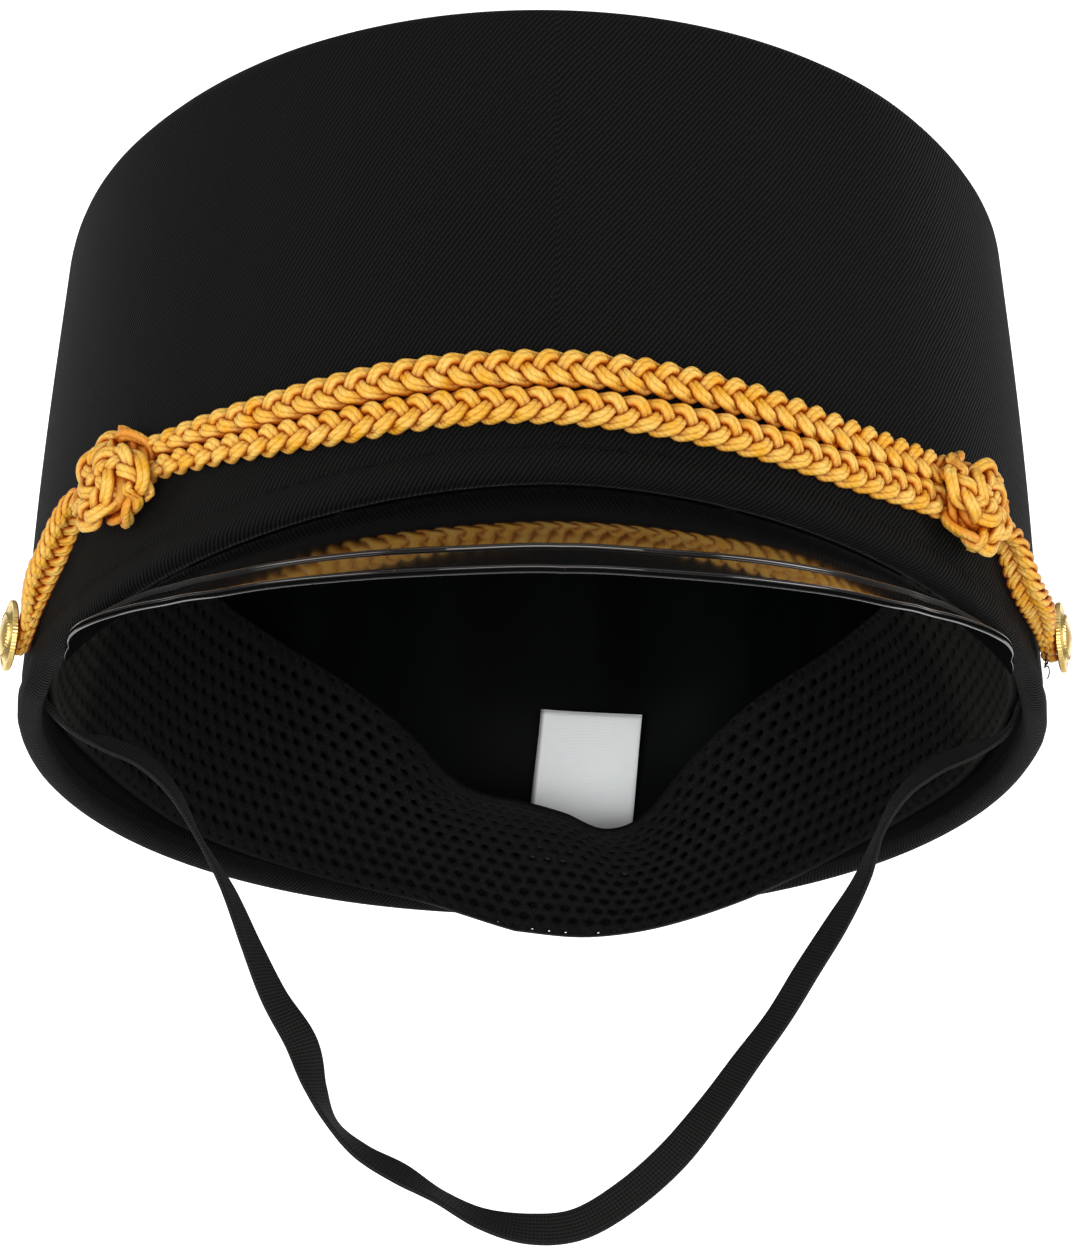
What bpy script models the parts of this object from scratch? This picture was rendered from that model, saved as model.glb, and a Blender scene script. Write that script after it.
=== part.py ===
"""A tall peaked cap in black twill with gold braid, side buttons and a chin strap.

Units are metres, +Z is up and the front of the cap faces -Y, so the wearer's
left is +X. The origin is the centre of the head opening, level with the lowest
edge of the rim. Angles run round the head opening from the front centre,
positive towards the wearer's left.
"""
import math

import bmesh
import bpy
from mathutils import Vector

# Head opening, measured on the outside of the rim
RIM_HALF_WIDTH = 0.0920
RIM_FRONT = 0.1028
RIM_BACK = 0.1043
RIM_FRONT_FULLNESS = 1.83
RIM_BACK_FULLNESS = 2.04
RIM_ARCH = 0.0060

# Crown
CROWN_HEIGHT = 0.0894
CROWN_TILT = 0.0062
TOP_HALF_WIDTH = 0.0864
TOP_HALF_LENGTH = 0.1039
TOP_FORWARD = 0.0012
TOP_FULLNESS = 2.02
WALL_SWELL = 0.0010
TWILL_WALL = 0.0025
TOP_EDGE_RADIUS = 0.0040
TOP_TURN_IN = 0.0052
TOP_DOME = 0.0015

# Padded fold round the lower edge, and the facing turned up inside it
HEM_THICKNESS = 0.0044
HEM_STANDOFF = 0.0006
HEM_HEIGHT = 0.0078
HEM_CREASE = 0.0004
FACING_HEIGHT = 0.0046
FACING_STEP = 0.0013

# The least room left between two pieces that touch
SEAM_GAP = 0.0003

# Lining
LINING_THICKNESS = 0.0008
LINING_START = 0.0170
LINING_FOLDS = 15
LINING_FOLD_DEPTH = 0.0018

# Net band inside the rim
BAND_WIDTH = 0.0460
BAND_THICKNESS = 0.0015
BAND_SEAM_HEIGHT = 0.0085
BAND_SETBACK = 0.0006

# Size tab at the back
LABEL_WIDTH = 0.0210
LABEL_HEIGHT = 0.0380
LABEL_THICKNESS = 0.0005
LABEL_FOOT = 0.0030
LABEL_OFFSET = 0.0123
LABEL_LEAN = 0.0030
LABEL_SLANT = 6.0

# Peak
PEAK_REACH = 0.0407
PEAK_THICKNESS = 0.0013
PEAK_SLOPE = 40.5
PEAK_TIP_ANGLE = 64.0
PEAK_FOLD_INSET = 0.0026
PEAK_FAN_LENGTH = 0.2000
RIDGE_HEIGHT = 0.0008
RIDGE_WIDTH = 0.0030

# Braid, knots and side buttons
BRAID_WIDTH = 0.0056
BRAID_THICKNESS = 0.0030
BRAID_PITCH = 0.0042
BRAID_GROOVE = 0.0005
BRAID_CHEVRON = 0.0016
BRAID_UPPER_HEIGHT = 0.0252
BRAID_SPACING = 0.0062
KNOT_ANGLE = 49.5
KNOT_HEIGHT = 0.0204
KNOT_LENGTH = 0.0185
KNOT_WIDTH = 0.0172
KNOT_THICKNESS = 0.0085
BUTTON_ANGLE = 74.6
BUTTON_HEIGHT = 0.0107
BUTTON_TILT = 0.0012
BUTTON_DIAMETER = 0.0125
BUTTON_RIM = 0.0011
BUTTON_DOME = 0.0014

# Chin strap, a flat elastic
STRAP_WIDTH = 0.0062
STRAP_THICKNESS = 0.0009
STRAP_STEP = 0.0034

# How finely the faceted surfaces are cut
WALL_SECTIONS = 64
PEAK_SECTIONS = 40
BUTTON_SECTIONS = 20

# Lines of the band: angle, height of the sewn edge as a share of
# BAND_SEAM_HEIGHT, width as a share of BAND_WIDTH, and how many degrees it curls
# inwards beyond the lean of the wall
BAND_TABLE = (
    (-180, -0.53, 0.76, 97),
    (-172, -0.10, 0.73, 100),
    (-167, 0.10, 0.71, 85),
    (-160, 0.25, 0.78, 47),
    (-150, 0.42, 0.90, 20),
    (-140, 0.54, 0.96, 17),
    (-130, 0.66, 0.99, 18),
    (-120, 0.87, 1.00, 21),
    (-110, 1.00, 1.00, 25),
    (-100, 0.96, 1.00, 28),
    (-88, 0.94, 0.98, 27),
    (-72, 0.75, 0.96, 10),
    (-50, 0.40, 0.98, 8),
    (0, 0.35, 0.98, 8),
    (50, 0.40, 0.98, 8),
    (72, 0.75, 0.93, 12),
    (88, 0.94, 0.88, 31),
    (100, 0.85, 0.85, 37),
    (110, 0.68, 0.83, 37),
    (120, 0.62, 0.84, 27),
    (130, 0.44, 0.84, 21),
    (140, 0.12, 0.82, 27),
    (150, -0.24, 0.74, 52),
    (160, -0.56, 0.64, 81),
    (166, -0.68, 0.66, 93),
    (172, -0.70, 0.74, 100),
    (180, -0.53, 0.76, 97),
)

# Lines of the peak: share of PEAK_TIP_ANGLE, share of PEAK_REACH, share of
# the fan's own slope, and how far out of that reach the raised line lies
PEAK_TABLE = (
    (0.00, 1.000, 1.00, 0.780),
    (0.16, 0.953, 1.00, 0.785),
    (0.31, 0.830, 1.00, 0.755),
    (0.47, 0.631, 1.00, 0.730),
    (0.55, 0.526, 1.00, 0.708),
    (0.62, 0.402, 1.00, 0.680),
    (0.69, 0.291, 1.00, 0.630),
    (0.75, 0.226, 0.90, 0.560),
    (0.81, 0.174, 0.74, 0.550),
    (0.88, 0.138, 0.44, 0.580),
    (0.94, 0.112, 0.15, 0.600),
    (0.98, 0.086, 0.05, 0.600),
    (1.00, 0.055, 0.05, 0.600),
)

# Lines of the two braids: angle, the heights of the upper and the lower one
# above BRAID_UPPER_HEIGHT, as shares of BRAID_SPACING, and their width as a
# share of BRAID_WIDTH
BRAID_TABLE = (
    (-46, 0.06, -0.56, 0.62),
    (-39, 0.00, -0.72, 0.74),
    (-32, -0.04, -0.88, 0.88),
    (-24, 0.00, -0.96, 0.98),
    (-17, 0.08, -0.92, 1.00),
    (-10, 0.10, -0.90, 1.00),
    (-3, 0.08, -0.92, 1.00),
    (5, 0.06, -1.00, 1.00),
    (14, -0.05, -1.12, 1.00),
    (22, -0.20, -1.23, 1.00),
    (32, -0.40, -1.37, 0.98),
    (40, -0.35, -1.30, 0.96),
    (46, -0.22, -1.16, 0.94),
)

# Line of the braid from a knot down to and past its button: share of the way
# round from KNOT_ANGLE to BUTTON_ANGLE, share of the drop from the knot's height
# to the button's on the wearer's right and on the left, how far it stands out from
# the wall as a share of BRAID_WIDTH, and its height as a share of BRAID_WIDTH,
# because here the braid stands on its edge
BRAID_END_TABLE = (
    (0.24, -0.10, 0.06, 0.58, 0.66),
    (0.36, -0.12, 0.14, 0.74, 0.64),
    (0.43, 0.02, 0.50, 0.80, 0.64),
    (0.50, 0.20, 0.84, 0.82, 0.64),
    (0.57, 0.38, 1.00, 0.82, 0.64),
    (0.68, 0.58, 1.08, 0.80, 0.64),
    (0.81, 0.78, 1.12, 0.60, 0.66),
    (0.88, 0.88, 1.16, 0.48, 0.70),
    (0.94, 0.97, 1.20, 0.44, 0.72),
    (1.00, 1.05, 1.26, 0.43, 0.72),
    (1.08, 1.15, 1.34, 0.42, 0.70),
)

# Route of the chin strap: x, z, and the turn of its flat side in degrees, where
# 0 faces the front and 90 lies edge-on to it
STRAP_ROUTE = (
    (-0.0880, 0.0135, 90),
    (-0.0884, 0.0088, 90),
    (-0.0875, 0.0060, 88),
    (-0.0828, 0.0012, 76),
    (-0.0765, -0.0012, 50),
    (-0.0700, -0.0043, 52),
    (-0.0645, -0.0100, 66),
    (-0.0598, -0.0183, 80),
    (-0.0543, -0.0278, 68),
    (-0.0497, -0.0385, 54),
    (-0.0455, -0.0478, 38),
    (-0.0405, -0.0562, 20),
    (-0.0380, -0.0640, 50),
    (-0.0350, -0.0704, 69),
    (-0.0297, -0.0756, 54),
    (-0.0230, -0.0794, 44),
    (-0.0160, -0.0835, 58),
    (-0.0085, -0.0873, 44),
    (0.0000, -0.0890, 20),
    (0.0082, -0.0880, 16),
    (0.0165, -0.0830, 14),
    (0.0245, -0.0758, 16),
    (0.0315, -0.0671, 30),
    (0.0376, -0.0586, 38),
    (0.0435, -0.0505, 44),
    (0.0488, -0.0418, 44),
    (0.0540, -0.0335, 48),
    (0.0588, -0.0250, 64),
    (0.0622, -0.0165, 80),
    (0.0665, -0.0090, 66),
    (0.0725, -0.0036, 50),
    (0.0790, -0.0004, 50),
    (0.0845, 0.0024, 70),
    (0.0875, 0.0060, 88),
    (0.0884, 0.0088, 90),
    (0.0880, 0.0135, 90),
)


def clear_scene():
    for found in list(bpy.data.objects):
        bpy.data.objects.remove(found, do_unlink=True)


def make_material(name, colour, roughness, metallic=0.0):
    material = bpy.data.materials.new(name)
    material.use_nodes = True
    shader = material.node_tree.nodes["Principled BSDF"]
    shader.inputs["Base Color"].default_value = (*colour, 1.0)
    shader.inputs["Roughness"].default_value = roughness
    shader.inputs["Metallic"].default_value = metallic
    return material


def add_object(name, mesh_builder, material):
    bmesh.ops.recalc_face_normals(mesh_builder, faces=mesh_builder.faces)
    mesh = bpy.data.meshes.new(name)
    mesh_builder.to_mesh(mesh)
    mesh_builder.free()
    mesh.shade_smooth()
    mesh.set_sharp_from_angle(angle=math.radians(40))
    mesh.materials.append(material)
    placed = bpy.data.objects.new(name, mesh)
    bpy.context.scene.collection.objects.link(placed)
    return placed


def bridge(builder, first, second):
    """Join two rings of the same number of corners with four-sided faces."""
    count = len(first)
    for k in range(count):
        after = (k + 1) % count
        builder.faces.new((first[k], first[after], second[after], second[k]))


def loft(name, rings, material, closed_round=False, centres=()):
    """Skin a row of rings; a closed row has no ends, and ends are flat or coned.

    centres holds the middle points of the first and the last ring, for ends
    that are cones or discs; without them an end is one flat face.
    """
    builder = bmesh.new()
    corner_rings = [[builder.verts.new(point) for point in ring] for ring in rings]
    for first, second in zip(corner_rings, corner_rings[1:]):
        bridge(builder, first, second)
    if closed_round:
        bridge(builder, corner_rings[-1], corner_rings[0])
        return add_object(name, builder, material)
    for k, ring in enumerate((corner_rings[0], corner_rings[-1])):
        if not centres:
            builder.faces.new(ring)
            continue
        middle = builder.verts.new(centres[k])
        for corner, after in zip(ring, ring[1:] + ring[:1]):
            builder.faces.new((corner, after, middle))
    return add_object(name, builder, material)


def smooth_step(low, high, value):
    share = min(max((value - low) / (high - low), 0.0), 1.0)
    return share * share * (3.0 - 2.0 * share)


def between_rows(table, key):
    """Read a table at a key that lies between its rows, with a smooth curve."""
    last = len(table) - 1
    row = 0
    while row < last - 1 and key > table[row + 1][0]:
        row += 1
    low, high = table[row], table[row + 1]
    before = table[max(row - 1, 0)]
    after = table[min(row + 2, last)]
    span = high[0] - low[0]
    share = min(max((key - low[0]) / span, 0.0), 1.0)
    values = []
    for column in range(1, len(low)):
        slope_low = (high[column] - before[column]) / (high[0] - before[0]) * span
        slope_high = (after[column] - low[column]) / (after[0] - low[0]) * span
        rise = high[column] - low[column]
        curve = (
            low[column]
            + slope_low * share
            + (3.0 * rise - 2.0 * slope_low - slope_high) * share ** 2
            + (slope_low + slope_high - 2.0 * rise) * share ** 3
        )
        values.append(curve)
    return values


def oval_point(angle, half_width, half_length, fullness):
    """A point on a rounded oval; fullness 2 is an ellipse."""
    across, along = math.sin(angle), math.cos(angle)
    power = 2.0 / fullness
    x = math.copysign(half_width * abs(across) ** power, across)
    y = -math.copysign(half_length * abs(along) ** power, along)
    return x, y


def hem_lift(angle):
    """How far the hem rises in front: the arch, and the room for the peak."""
    turn = abs(math.degrees(math.remainder(angle, 2.0 * math.pi)))
    arch = RIM_ARCH * max(math.cos(angle), 0.0) ** 2
    room = PEAK_THICKNESS + SEAM_GAP
    clear = PEAK_TIP_ANGLE + 360.0 / WALL_SECTIONS
    return arch + room * (1.0 - smooth_step(clear, clear + 9.0, turn))


def rim_edge(angle):
    """The outermost line of the rim, at the height of the hem's lower edge."""
    if math.cos(angle) > 0.0:
        x, y = oval_point(angle, RIM_HALF_WIDTH, RIM_FRONT, RIM_FRONT_FULLNESS)
    else:
        x, y = oval_point(angle, RIM_HALF_WIDTH, RIM_BACK, RIM_BACK_FULLNESS)
    return Vector((x, y, hem_lift(angle)))


def top_edge(angle):
    """The outline of the top panel, which tilts down towards the back."""
    x, y = oval_point(angle, TOP_HALF_WIDTH, TOP_HALF_LENGTH, TOP_FULLNESS)
    y -= TOP_FORWARD
    return Vector((x, y, CROWN_HEIGHT - CROWN_TILT * y / (2.0 * TOP_HALF_LENGTH)))


def outward(angle):
    """The level direction that points straight out of the wall."""
    step = math.radians(2.0)
    along = rim_edge(angle + step) - rim_edge(angle - step)
    return Vector((along.y, -along.x, 0.0)).normalized()


def wall_height(angle):
    return top_edge(angle).z - hem_lift(angle)


def wall_point(angle, share, level, depth):
    """A point in the wall: a share of its height, then metres up and metres in."""
    share += level / wall_height(angle)
    swell = WALL_SWELL * math.sin(math.pi * min(max(share, 0.0), 1.0))
    point = rim_edge(angle).lerp(top_edge(angle), share)
    return point + outward(angle) * (swell - depth)


def wall_at_height(angle, height, standoff):
    """A point outside the wall, by its height above the origin."""
    return wall_point(angle, 0.0, height - hem_lift(angle), -standoff)


def wall_lean_in(angle):
    """How far the wall leans inwards from upright, in radians."""
    climb = top_edge(angle) - rim_edge(angle)
    return math.atan2(-climb.dot(outward(angle)), climb.z)


def round_angles(count):
    return [2.0 * math.pi * k / count for k in range(count)]


def hem_inner_depth():
    return HEM_THICKNESS - HEM_STANDOFF


def side_profile():
    """The wall's section: share of the height, metres up, metres in."""
    hem_radius = HEM_THICKNESS / 2.0
    hem_centre = hem_radius - HEM_STANDOFF
    inner_radius = TOP_EDGE_RADIUS - TWILL_WALL
    profile = []
    for k in range(6):
        turn = math.pi * k / 5
        depth = hem_centre + hem_radius * math.cos(turn)
        profile.append((0.0, hem_radius * (1.0 - math.sin(turn)), depth))
    profile.append((0.0, HEM_HEIGHT * 0.75, -HEM_STANDOFF))
    profile.append((0.0, HEM_HEIGHT, HEM_CREASE))
    profile.append((0.0, HEM_HEIGHT * 1.25, 0.0))
    profile.append((0.38, 0.0, 0.0))
    profile.append((0.70, 0.0, 0.0))
    for k in range(4):
        turn = 0.5 * math.pi * k / 3
        up = TOP_EDGE_RADIUS * (math.sin(turn) - 1.0)
        profile.append((1.0, up, TOP_EDGE_RADIUS * (1.0 - math.cos(turn))))
    profile.append((1.0, 0.0, TOP_TURN_IN))
    profile.append((1.0, -TWILL_WALL, TOP_TURN_IN))
    for k in range(2):
        turn = 0.5 * math.pi * (1 - k)
        up = -TOP_EDGE_RADIUS + inner_radius * math.sin(turn)
        profile.append((1.0, up, TOP_EDGE_RADIUS - inner_radius * math.cos(turn)))
    profile.append((0.55, 0.0, TWILL_WALL))
    profile.append((0.0, FACING_HEIGHT + FACING_STEP, TWILL_WALL))
    profile.append((0.0, FACING_HEIGHT, hem_inner_depth()))
    return profile


def make_crown_side(material):
    profile = side_profile()
    sections = []
    for angle in round_angles(WALL_SECTIONS):
        sections.append([wall_point(angle, *spot) for spot in profile])
    loft("crown_side", sections, material, closed_round=True)


def top_ring(share, down, depth):
    """A ring of the top panel: a share of the way out from its centre."""
    centre = Vector((0.0, -TOP_FORWARD, CROWN_HEIGHT))
    ring = []
    for angle in round_angles(WALL_SECTIONS):
        edge = wall_point(angle, 1.0, 0.0, depth)
        point = centre.lerp(edge, share)
        point.z += TOP_DOME * (1.0 - share * share) - down
        ring.append(point)
    return ring


def top_centre(down):
    return Vector((0.0, -TOP_FORWARD, CROWN_HEIGHT + TOP_DOME - down))


def make_crown_top(material):
    edge = TOP_TURN_IN + SEAM_GAP
    rings = [
        top_ring(0.40, 0.0, edge),
        top_ring(0.75, 0.0, edge),
        top_ring(1.00, 0.0, edge),
        top_ring(1.00, TWILL_WALL, edge),
        top_ring(0.70, TWILL_WALL, edge),
    ]
    centres = (top_centre(0.0), top_centre(TWILL_WALL))
    loft("crown_top", rings, material, centres=centres)


def lining_fold(angle, share):
    """Soft upright folds that die out behind the net band and under the top."""
    uneven = 1.0 + 0.35 * math.sin(3.0 * angle + 1.0)
    wave = 0.5 - 0.5 * math.cos(LINING_FOLDS * angle + 0.8 * math.sin(2.0 * angle))
    fade = smooth_step(0.42, 0.62, share) * (1.0 - smooth_step(0.85, 1.0, share))
    return LINING_FOLD_DEPTH * wave * uneven * fade


def make_lining(material):
    start = TWILL_WALL + 2.0 * SEAM_GAP
    corner = TOP_EDGE_RADIUS + 2.0 * SEAM_GAP
    seam = TOP_TURN_IN + SEAM_GAP
    steps = (
        (0.0, LINING_START),
        (0.45, 0.0),
        (0.72, 0.0),
        (1.0, -corner),
    )
    outer = []
    inner = []
    for share, level in steps:
        out_ring = []
        in_ring = []
        for angle in round_angles(WALL_SECTIONS):
            depth = start + lining_fold(angle, share + level / wall_height(angle))
            out_ring.append(wall_point(angle, share, level, depth))
            in_ring.append(wall_point(angle, share, level, depth + LINING_THICKNESS))
        outer.append(out_ring)
        inner.append(in_ring)
    inside = start + LINING_THICKNESS
    outer.append(top_ring(1.0, start, corner))
    outer.append(top_ring(1.0, start, seam))
    inner.append(top_ring(1.0, inside, corner + LINING_THICKNESS))
    inner.append(top_ring(1.0, inside, seam))
    rings = outer[::-1] + inner
    centres = (top_centre(start), top_centre(inside))
    loft("lining", rings, material, centres=centres)


def band_section(angle):
    """The net band's section: up its outer face, and back down its inner face."""
    turn = math.degrees(math.remainder(angle, 2.0 * math.pi))
    seam_share, width_share, curl = between_rows(BAND_TABLE, turn)
    start = hem_inner_depth() + BAND_SETBACK
    seam = wall_point(angle, 0.0, BAND_SEAM_HEIGHT * seam_share, start)
    inward = -outward(angle)
    up = Vector((0.0, 0.0, 1.0))
    wall_lean = wall_lean_in(angle)
    steps = 6
    length = BAND_WIDTH * width_share / steps
    outer_face = [seam]
    inner_face = [seam + inward * BAND_THICKNESS]
    point = seam
    for k in range(steps):
        lean = wall_lean + math.radians(curl) * (k + 0.5) / steps
        point = point + (inward * math.sin(lean) + up * math.cos(lean)) * length
        facing = wall_lean + math.radians(curl) * (k + 1.0) / steps
        normal = inward * math.cos(facing) - up * math.sin(facing)
        outer_face.append(point)
        inner_face.append(point + normal * BAND_THICKNESS)
    return outer_face + inner_face[::-1]


def make_sweatband(material):
    sections = [band_section(angle) for angle in round_angles(WALL_SECTIONS)]
    loft("sweatband", sections, material, closed_round=True)


def make_label(material):
    """A flat tab whose foot stands inside the facing, leaning a little inwards."""
    angle = math.pi - math.asin(LABEL_OFFSET / RIM_HALF_WIDTH)
    inward = -outward(angle)
    up = Vector((0.0, 0.0, 1.0))
    across = up.cross(inward)
    slant = math.radians(LABEL_SLANT)
    middle = wall_point(angle, 0.0, LABEL_FOOT, hem_inner_depth() + 2.0 * SEAM_GAP)
    bow = LABEL_WIDTH ** 2 / (8.0 * RIM_HALF_WIDTH ** 2 / RIM_BACK)
    rings = []
    for k in range(5):
        share = k / 4
        centre = middle + inward * (bow + LABEL_LEAN * share ** 1.5)
        centre = centre + (up * math.cos(slant) + across * math.sin(slant)) * LABEL_HEIGHT * share
        half = (across * math.cos(slant) - up * math.sin(slant)) * (LABEL_WIDTH / 2.0)
        sheet = inward * LABEL_THICKNESS
        rings.append([centre - half, centre + half, centre + half + sheet, centre - half + sheet])
    loft("size_label", rings, material)


def peak_fold(angle):
    """The line where the peak leaves the rim, on its upper face."""
    point = rim_edge(angle) - outward(angle) * PEAK_FOLD_INSET
    point.z -= SEAM_GAP
    return point


def peak_direction(angle, slope_share):
    """The way the sheet runs at this angle: lines of a wide cone, eased at the tips."""
    slope = math.radians(PEAK_SLOPE)
    back = Vector((0.0, math.cos(slope), math.sin(slope)))
    apex = peak_fold(0.0) + back * PEAK_FAN_LENGTH
    line = peak_fold(angle) - apex
    level = Vector((line.x, line.y, 0.0)).normalized()
    dip = math.asin(-line.normalized().z) * slope_share
    run = level * math.cos(dip) - Vector((0.0, 0.0, math.sin(dip)))
    normal = level * math.sin(dip) + Vector((0.0, 0.0, math.cos(dip)))
    return run, normal


def peak_section(angle):
    """The sheet's section: out along its upper face over the ridge, and back."""
    tip_share = abs(math.degrees(angle)) / PEAK_TIP_ANGLE
    reach_share, slope_share, ridge_share = between_rows(PEAK_TABLE, tip_share)
    run, normal = peak_direction(angle, slope_share)
    root = peak_fold(angle)
    reach = PEAK_REACH * reach_share
    ridge = reach * ridge_share
    round_edge = PEAK_THICKNESS * 0.4
    half_ridge = min(RIDGE_WIDTH / 2.0, ridge * 0.6, (reach - round_edge - ridge) * 0.6)
    height = RIDGE_HEIGHT * smooth_step(PEAK_FOLD_INSET, 2.0 * PEAK_FOLD_INSET, ridge)
    spots = (
        (0.0, 0.0),
        (ridge - half_ridge, 0.0),
        (ridge - half_ridge * 0.3, height),
        (ridge + half_ridge * 0.3, height),
        (ridge + half_ridge, 0.0),
        (reach - round_edge, 0.0),
        (reach, -round_edge),
        (reach, round_edge - PEAK_THICKNESS),
        (reach - round_edge, -PEAK_THICKNESS),
        (ridge, -PEAK_THICKNESS),
        (0.0, -PEAK_THICKNESS),
    )
    return [root + run * along + normal * above for along, above in spots]


def make_peak(material):
    tip = math.radians(PEAK_TIP_ANGLE)
    sections = []
    for k in range(PEAK_SECTIONS + 1):
        sections.append(peak_section(tip * (2.0 * k / PEAK_SECTIONS - 1.0)))
    loft("peak", sections, material)


def braid_ring(centre, along, out, width, thickness, chevron):
    """A six-sided section, its sides trailing behind its middle."""
    across = along.cross(out)
    ring = []
    for side, rise in ((1, 0), (0.5, 1), (-0.5, 1), (-1, 0), (-0.5, -1), (0.5, -1)):
        point = centre + across * (side * width / 2.0) + out * (rise * thickness / 2.0)
        ring.append(point - along * (chevron * abs(side)))
    return ring


def make_braid(name, spots, material):
    """A flat braid along spots of centre, outward direction, width, thickness."""
    rings = []
    last = len(spots) - 1
    for k, (centre, out, width, thickness) in enumerate(spots):
        along = (spots[min(k + 1, last)][0] - spots[max(k - 1, 0)][0]).normalized()
        groove = BRAID_GROOVE * (k % 2)
        chevron = BRAID_CHEVRON * min(k, last - k, 2) / 2.0
        rings.append(
            braid_ring(centre, along, out, width - 2.0 * groove, thickness - groove, chevron)
        )
    loft(name, rings, material)


def even_spots(place, low, high):
    """Spots half a pitch apart along a route given by place(share)."""
    fine = [place(low + (high - low) * k / 200) for k in range(201)]
    length = sum((b[0] - a[0]).length for a, b in zip(fine, fine[1:]))
    count = max(2 * round(length / BRAID_PITCH), 4)
    spots = []
    travelled = 0.0
    for before, after in zip(fine, fine[1:]):
        if travelled >= length * len(spots) / count:
            spots.append(before)
        travelled += (after[0] - before[0]).length
    spots.append(fine[-1])
    return spots


def braid_spot(angle, height, width, thickness):
    """The middle of a braid lying on the wall, stepping out over the hem."""
    hem_top = hem_lift(angle) + HEM_HEIGHT + width / 2.0
    step = HEM_STANDOFF * (1.0 - smooth_step(hem_top, hem_top + width / 2.0, height))
    centre = wall_at_height(angle, height, SEAM_GAP + step + thickness / 2.0)
    return centre, outward(angle), width, thickness


def knot_height(side):
    return KNOT_HEIGHT - side * 0.13 * BRAID_SPACING


def button_height(side):
    return BUTTON_HEIGHT + side * BUTTON_TILT


def make_long_braid(name, column, material):
    """One of the two braids, from the rear face of one knot to the other."""
    def place(turn):
        row = between_rows(BRAID_TABLE, turn)
        height = BRAID_UPPER_HEIGHT + BRAID_SPACING * row[column]
        return braid_spot(math.radians(turn), height, BRAID_WIDTH * row[2], BRAID_THICKNESS)

    radius = (RIM_HALF_WIDTH + RIM_FRONT) / 2.0
    stop = KNOT_ANGLE - math.degrees((KNOT_LENGTH / 2.0 + SEAM_GAP) / radius)
    make_braid(name, even_spots(place, -stop, stop), material)


def make_braid_end(name, side, material):
    """The single braid that runs from a knot down under its button."""
    def place(share):
        drop_right, drop_left, stand, tall = between_rows(BRAID_END_TABLE, share)
        angle = math.radians(KNOT_ANGLE + (BUTTON_ANGLE - KNOT_ANGLE) * share) * side
        start = knot_height(side)
        drop = drop_left if side > 0 else drop_right
        height = start + (button_height(side) - start) * drop
        return braid_spot(angle, height, BRAID_WIDTH * tall, BRAID_WIDTH * stand)

    make_braid(name, even_spots(place, BRAID_END_TABLE[0][0], BRAID_END_TABLE[-1][0]), material)


def make_knot(name, side, material):
    """A round knot: a flattened ball with three wraps pressed into it."""
    angle = math.radians(KNOT_ANGLE) * side
    out = outward(angle)
    bed = KNOT_LENGTH ** 2 / (8.0 * RIM_HALF_WIDTH)
    centre = wall_at_height(angle, knot_height(side), SEAM_GAP + KNOT_THICKNESS / 2.0)
    up = Vector((0.0, 0.0, 1.0))
    across = up.cross(out)
    rings = []
    rows, columns = 9, 16
    for row in range(1, rows):
        polar = math.pi * row / rows
        ring = []
        for column in range(columns):
            turn = 2.0 * math.pi * column / columns
            wrap = 1.0 - 0.07 * (0.5 - 0.5 * math.cos(4.0 * (turn + 0.8 * polar)))
            x = math.sin(polar) * math.cos(turn) * wrap * KNOT_LENGTH / 2.0
            z = math.sin(polar) * math.sin(turn) * wrap * KNOT_WIDTH / 2.0
            y = math.cos(polar) * KNOT_THICKNESS / 2.0
            sag = 4.0 * bed * (x / KNOT_LENGTH) ** 2
            ring.append(centre + across * x + up * z + out * (y - sag))
        rings.append(ring)
    centres = (centre + out * (KNOT_THICKNESS / 2.0), centre - out * (KNOT_THICKNESS / 2.0))
    loft(name, rings, material, centres=centres)


def make_button(name, side, material):
    """A domed button that lies on the end of its braid."""
    angle = math.radians(BUTTON_ANGLE) * side
    out = outward(angle)
    braid_under = BRAID_WIDTH * between_rows(BRAID_END_TABLE, 0.91)[2]
    seat = SEAM_GAP + HEM_STANDOFF + braid_under + SEAM_GAP
    centre = wall_at_height(angle, button_height(side), seat)
    up = Vector((0.0, 0.0, 1.0))
    across = up.cross(out)
    radius = BUTTON_DIAMETER / 2.0
    rings = []
    for share, height in (
        (0.94, 0.0),
        (1.00, BUTTON_RIM * 0.3),
        (1.00, BUTTON_RIM * 0.8),
        (0.92, BUTTON_RIM),
        (0.84, BUTTON_RIM * 0.75),
        (0.66, BUTTON_RIM + BUTTON_DOME * 0.50),
        (0.36, BUTTON_RIM + BUTTON_DOME * 0.88),
    ):
        ring = []
        for turn in round_angles(BUTTON_SECTIONS):
            around = across * math.cos(turn) + up * math.sin(turn)
            ring.append(centre + around * (radius * share) + out * height)
        rings.append(ring)
    centres = (centre, centre + out * (BUTTON_RIM + BUTTON_DOME))
    loft(name, rings, material, centres=centres)


def strap_spot(share):
    """The middle of the strap and the turn of its flat side, by a smooth curve."""
    table = [(k, *row) for k, row in enumerate(STRAP_ROUTE)]
    x, z, turn = between_rows(table, share * (len(table) - 1))
    return Vector((x, 0.0, z)), math.radians(turn)


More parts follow.
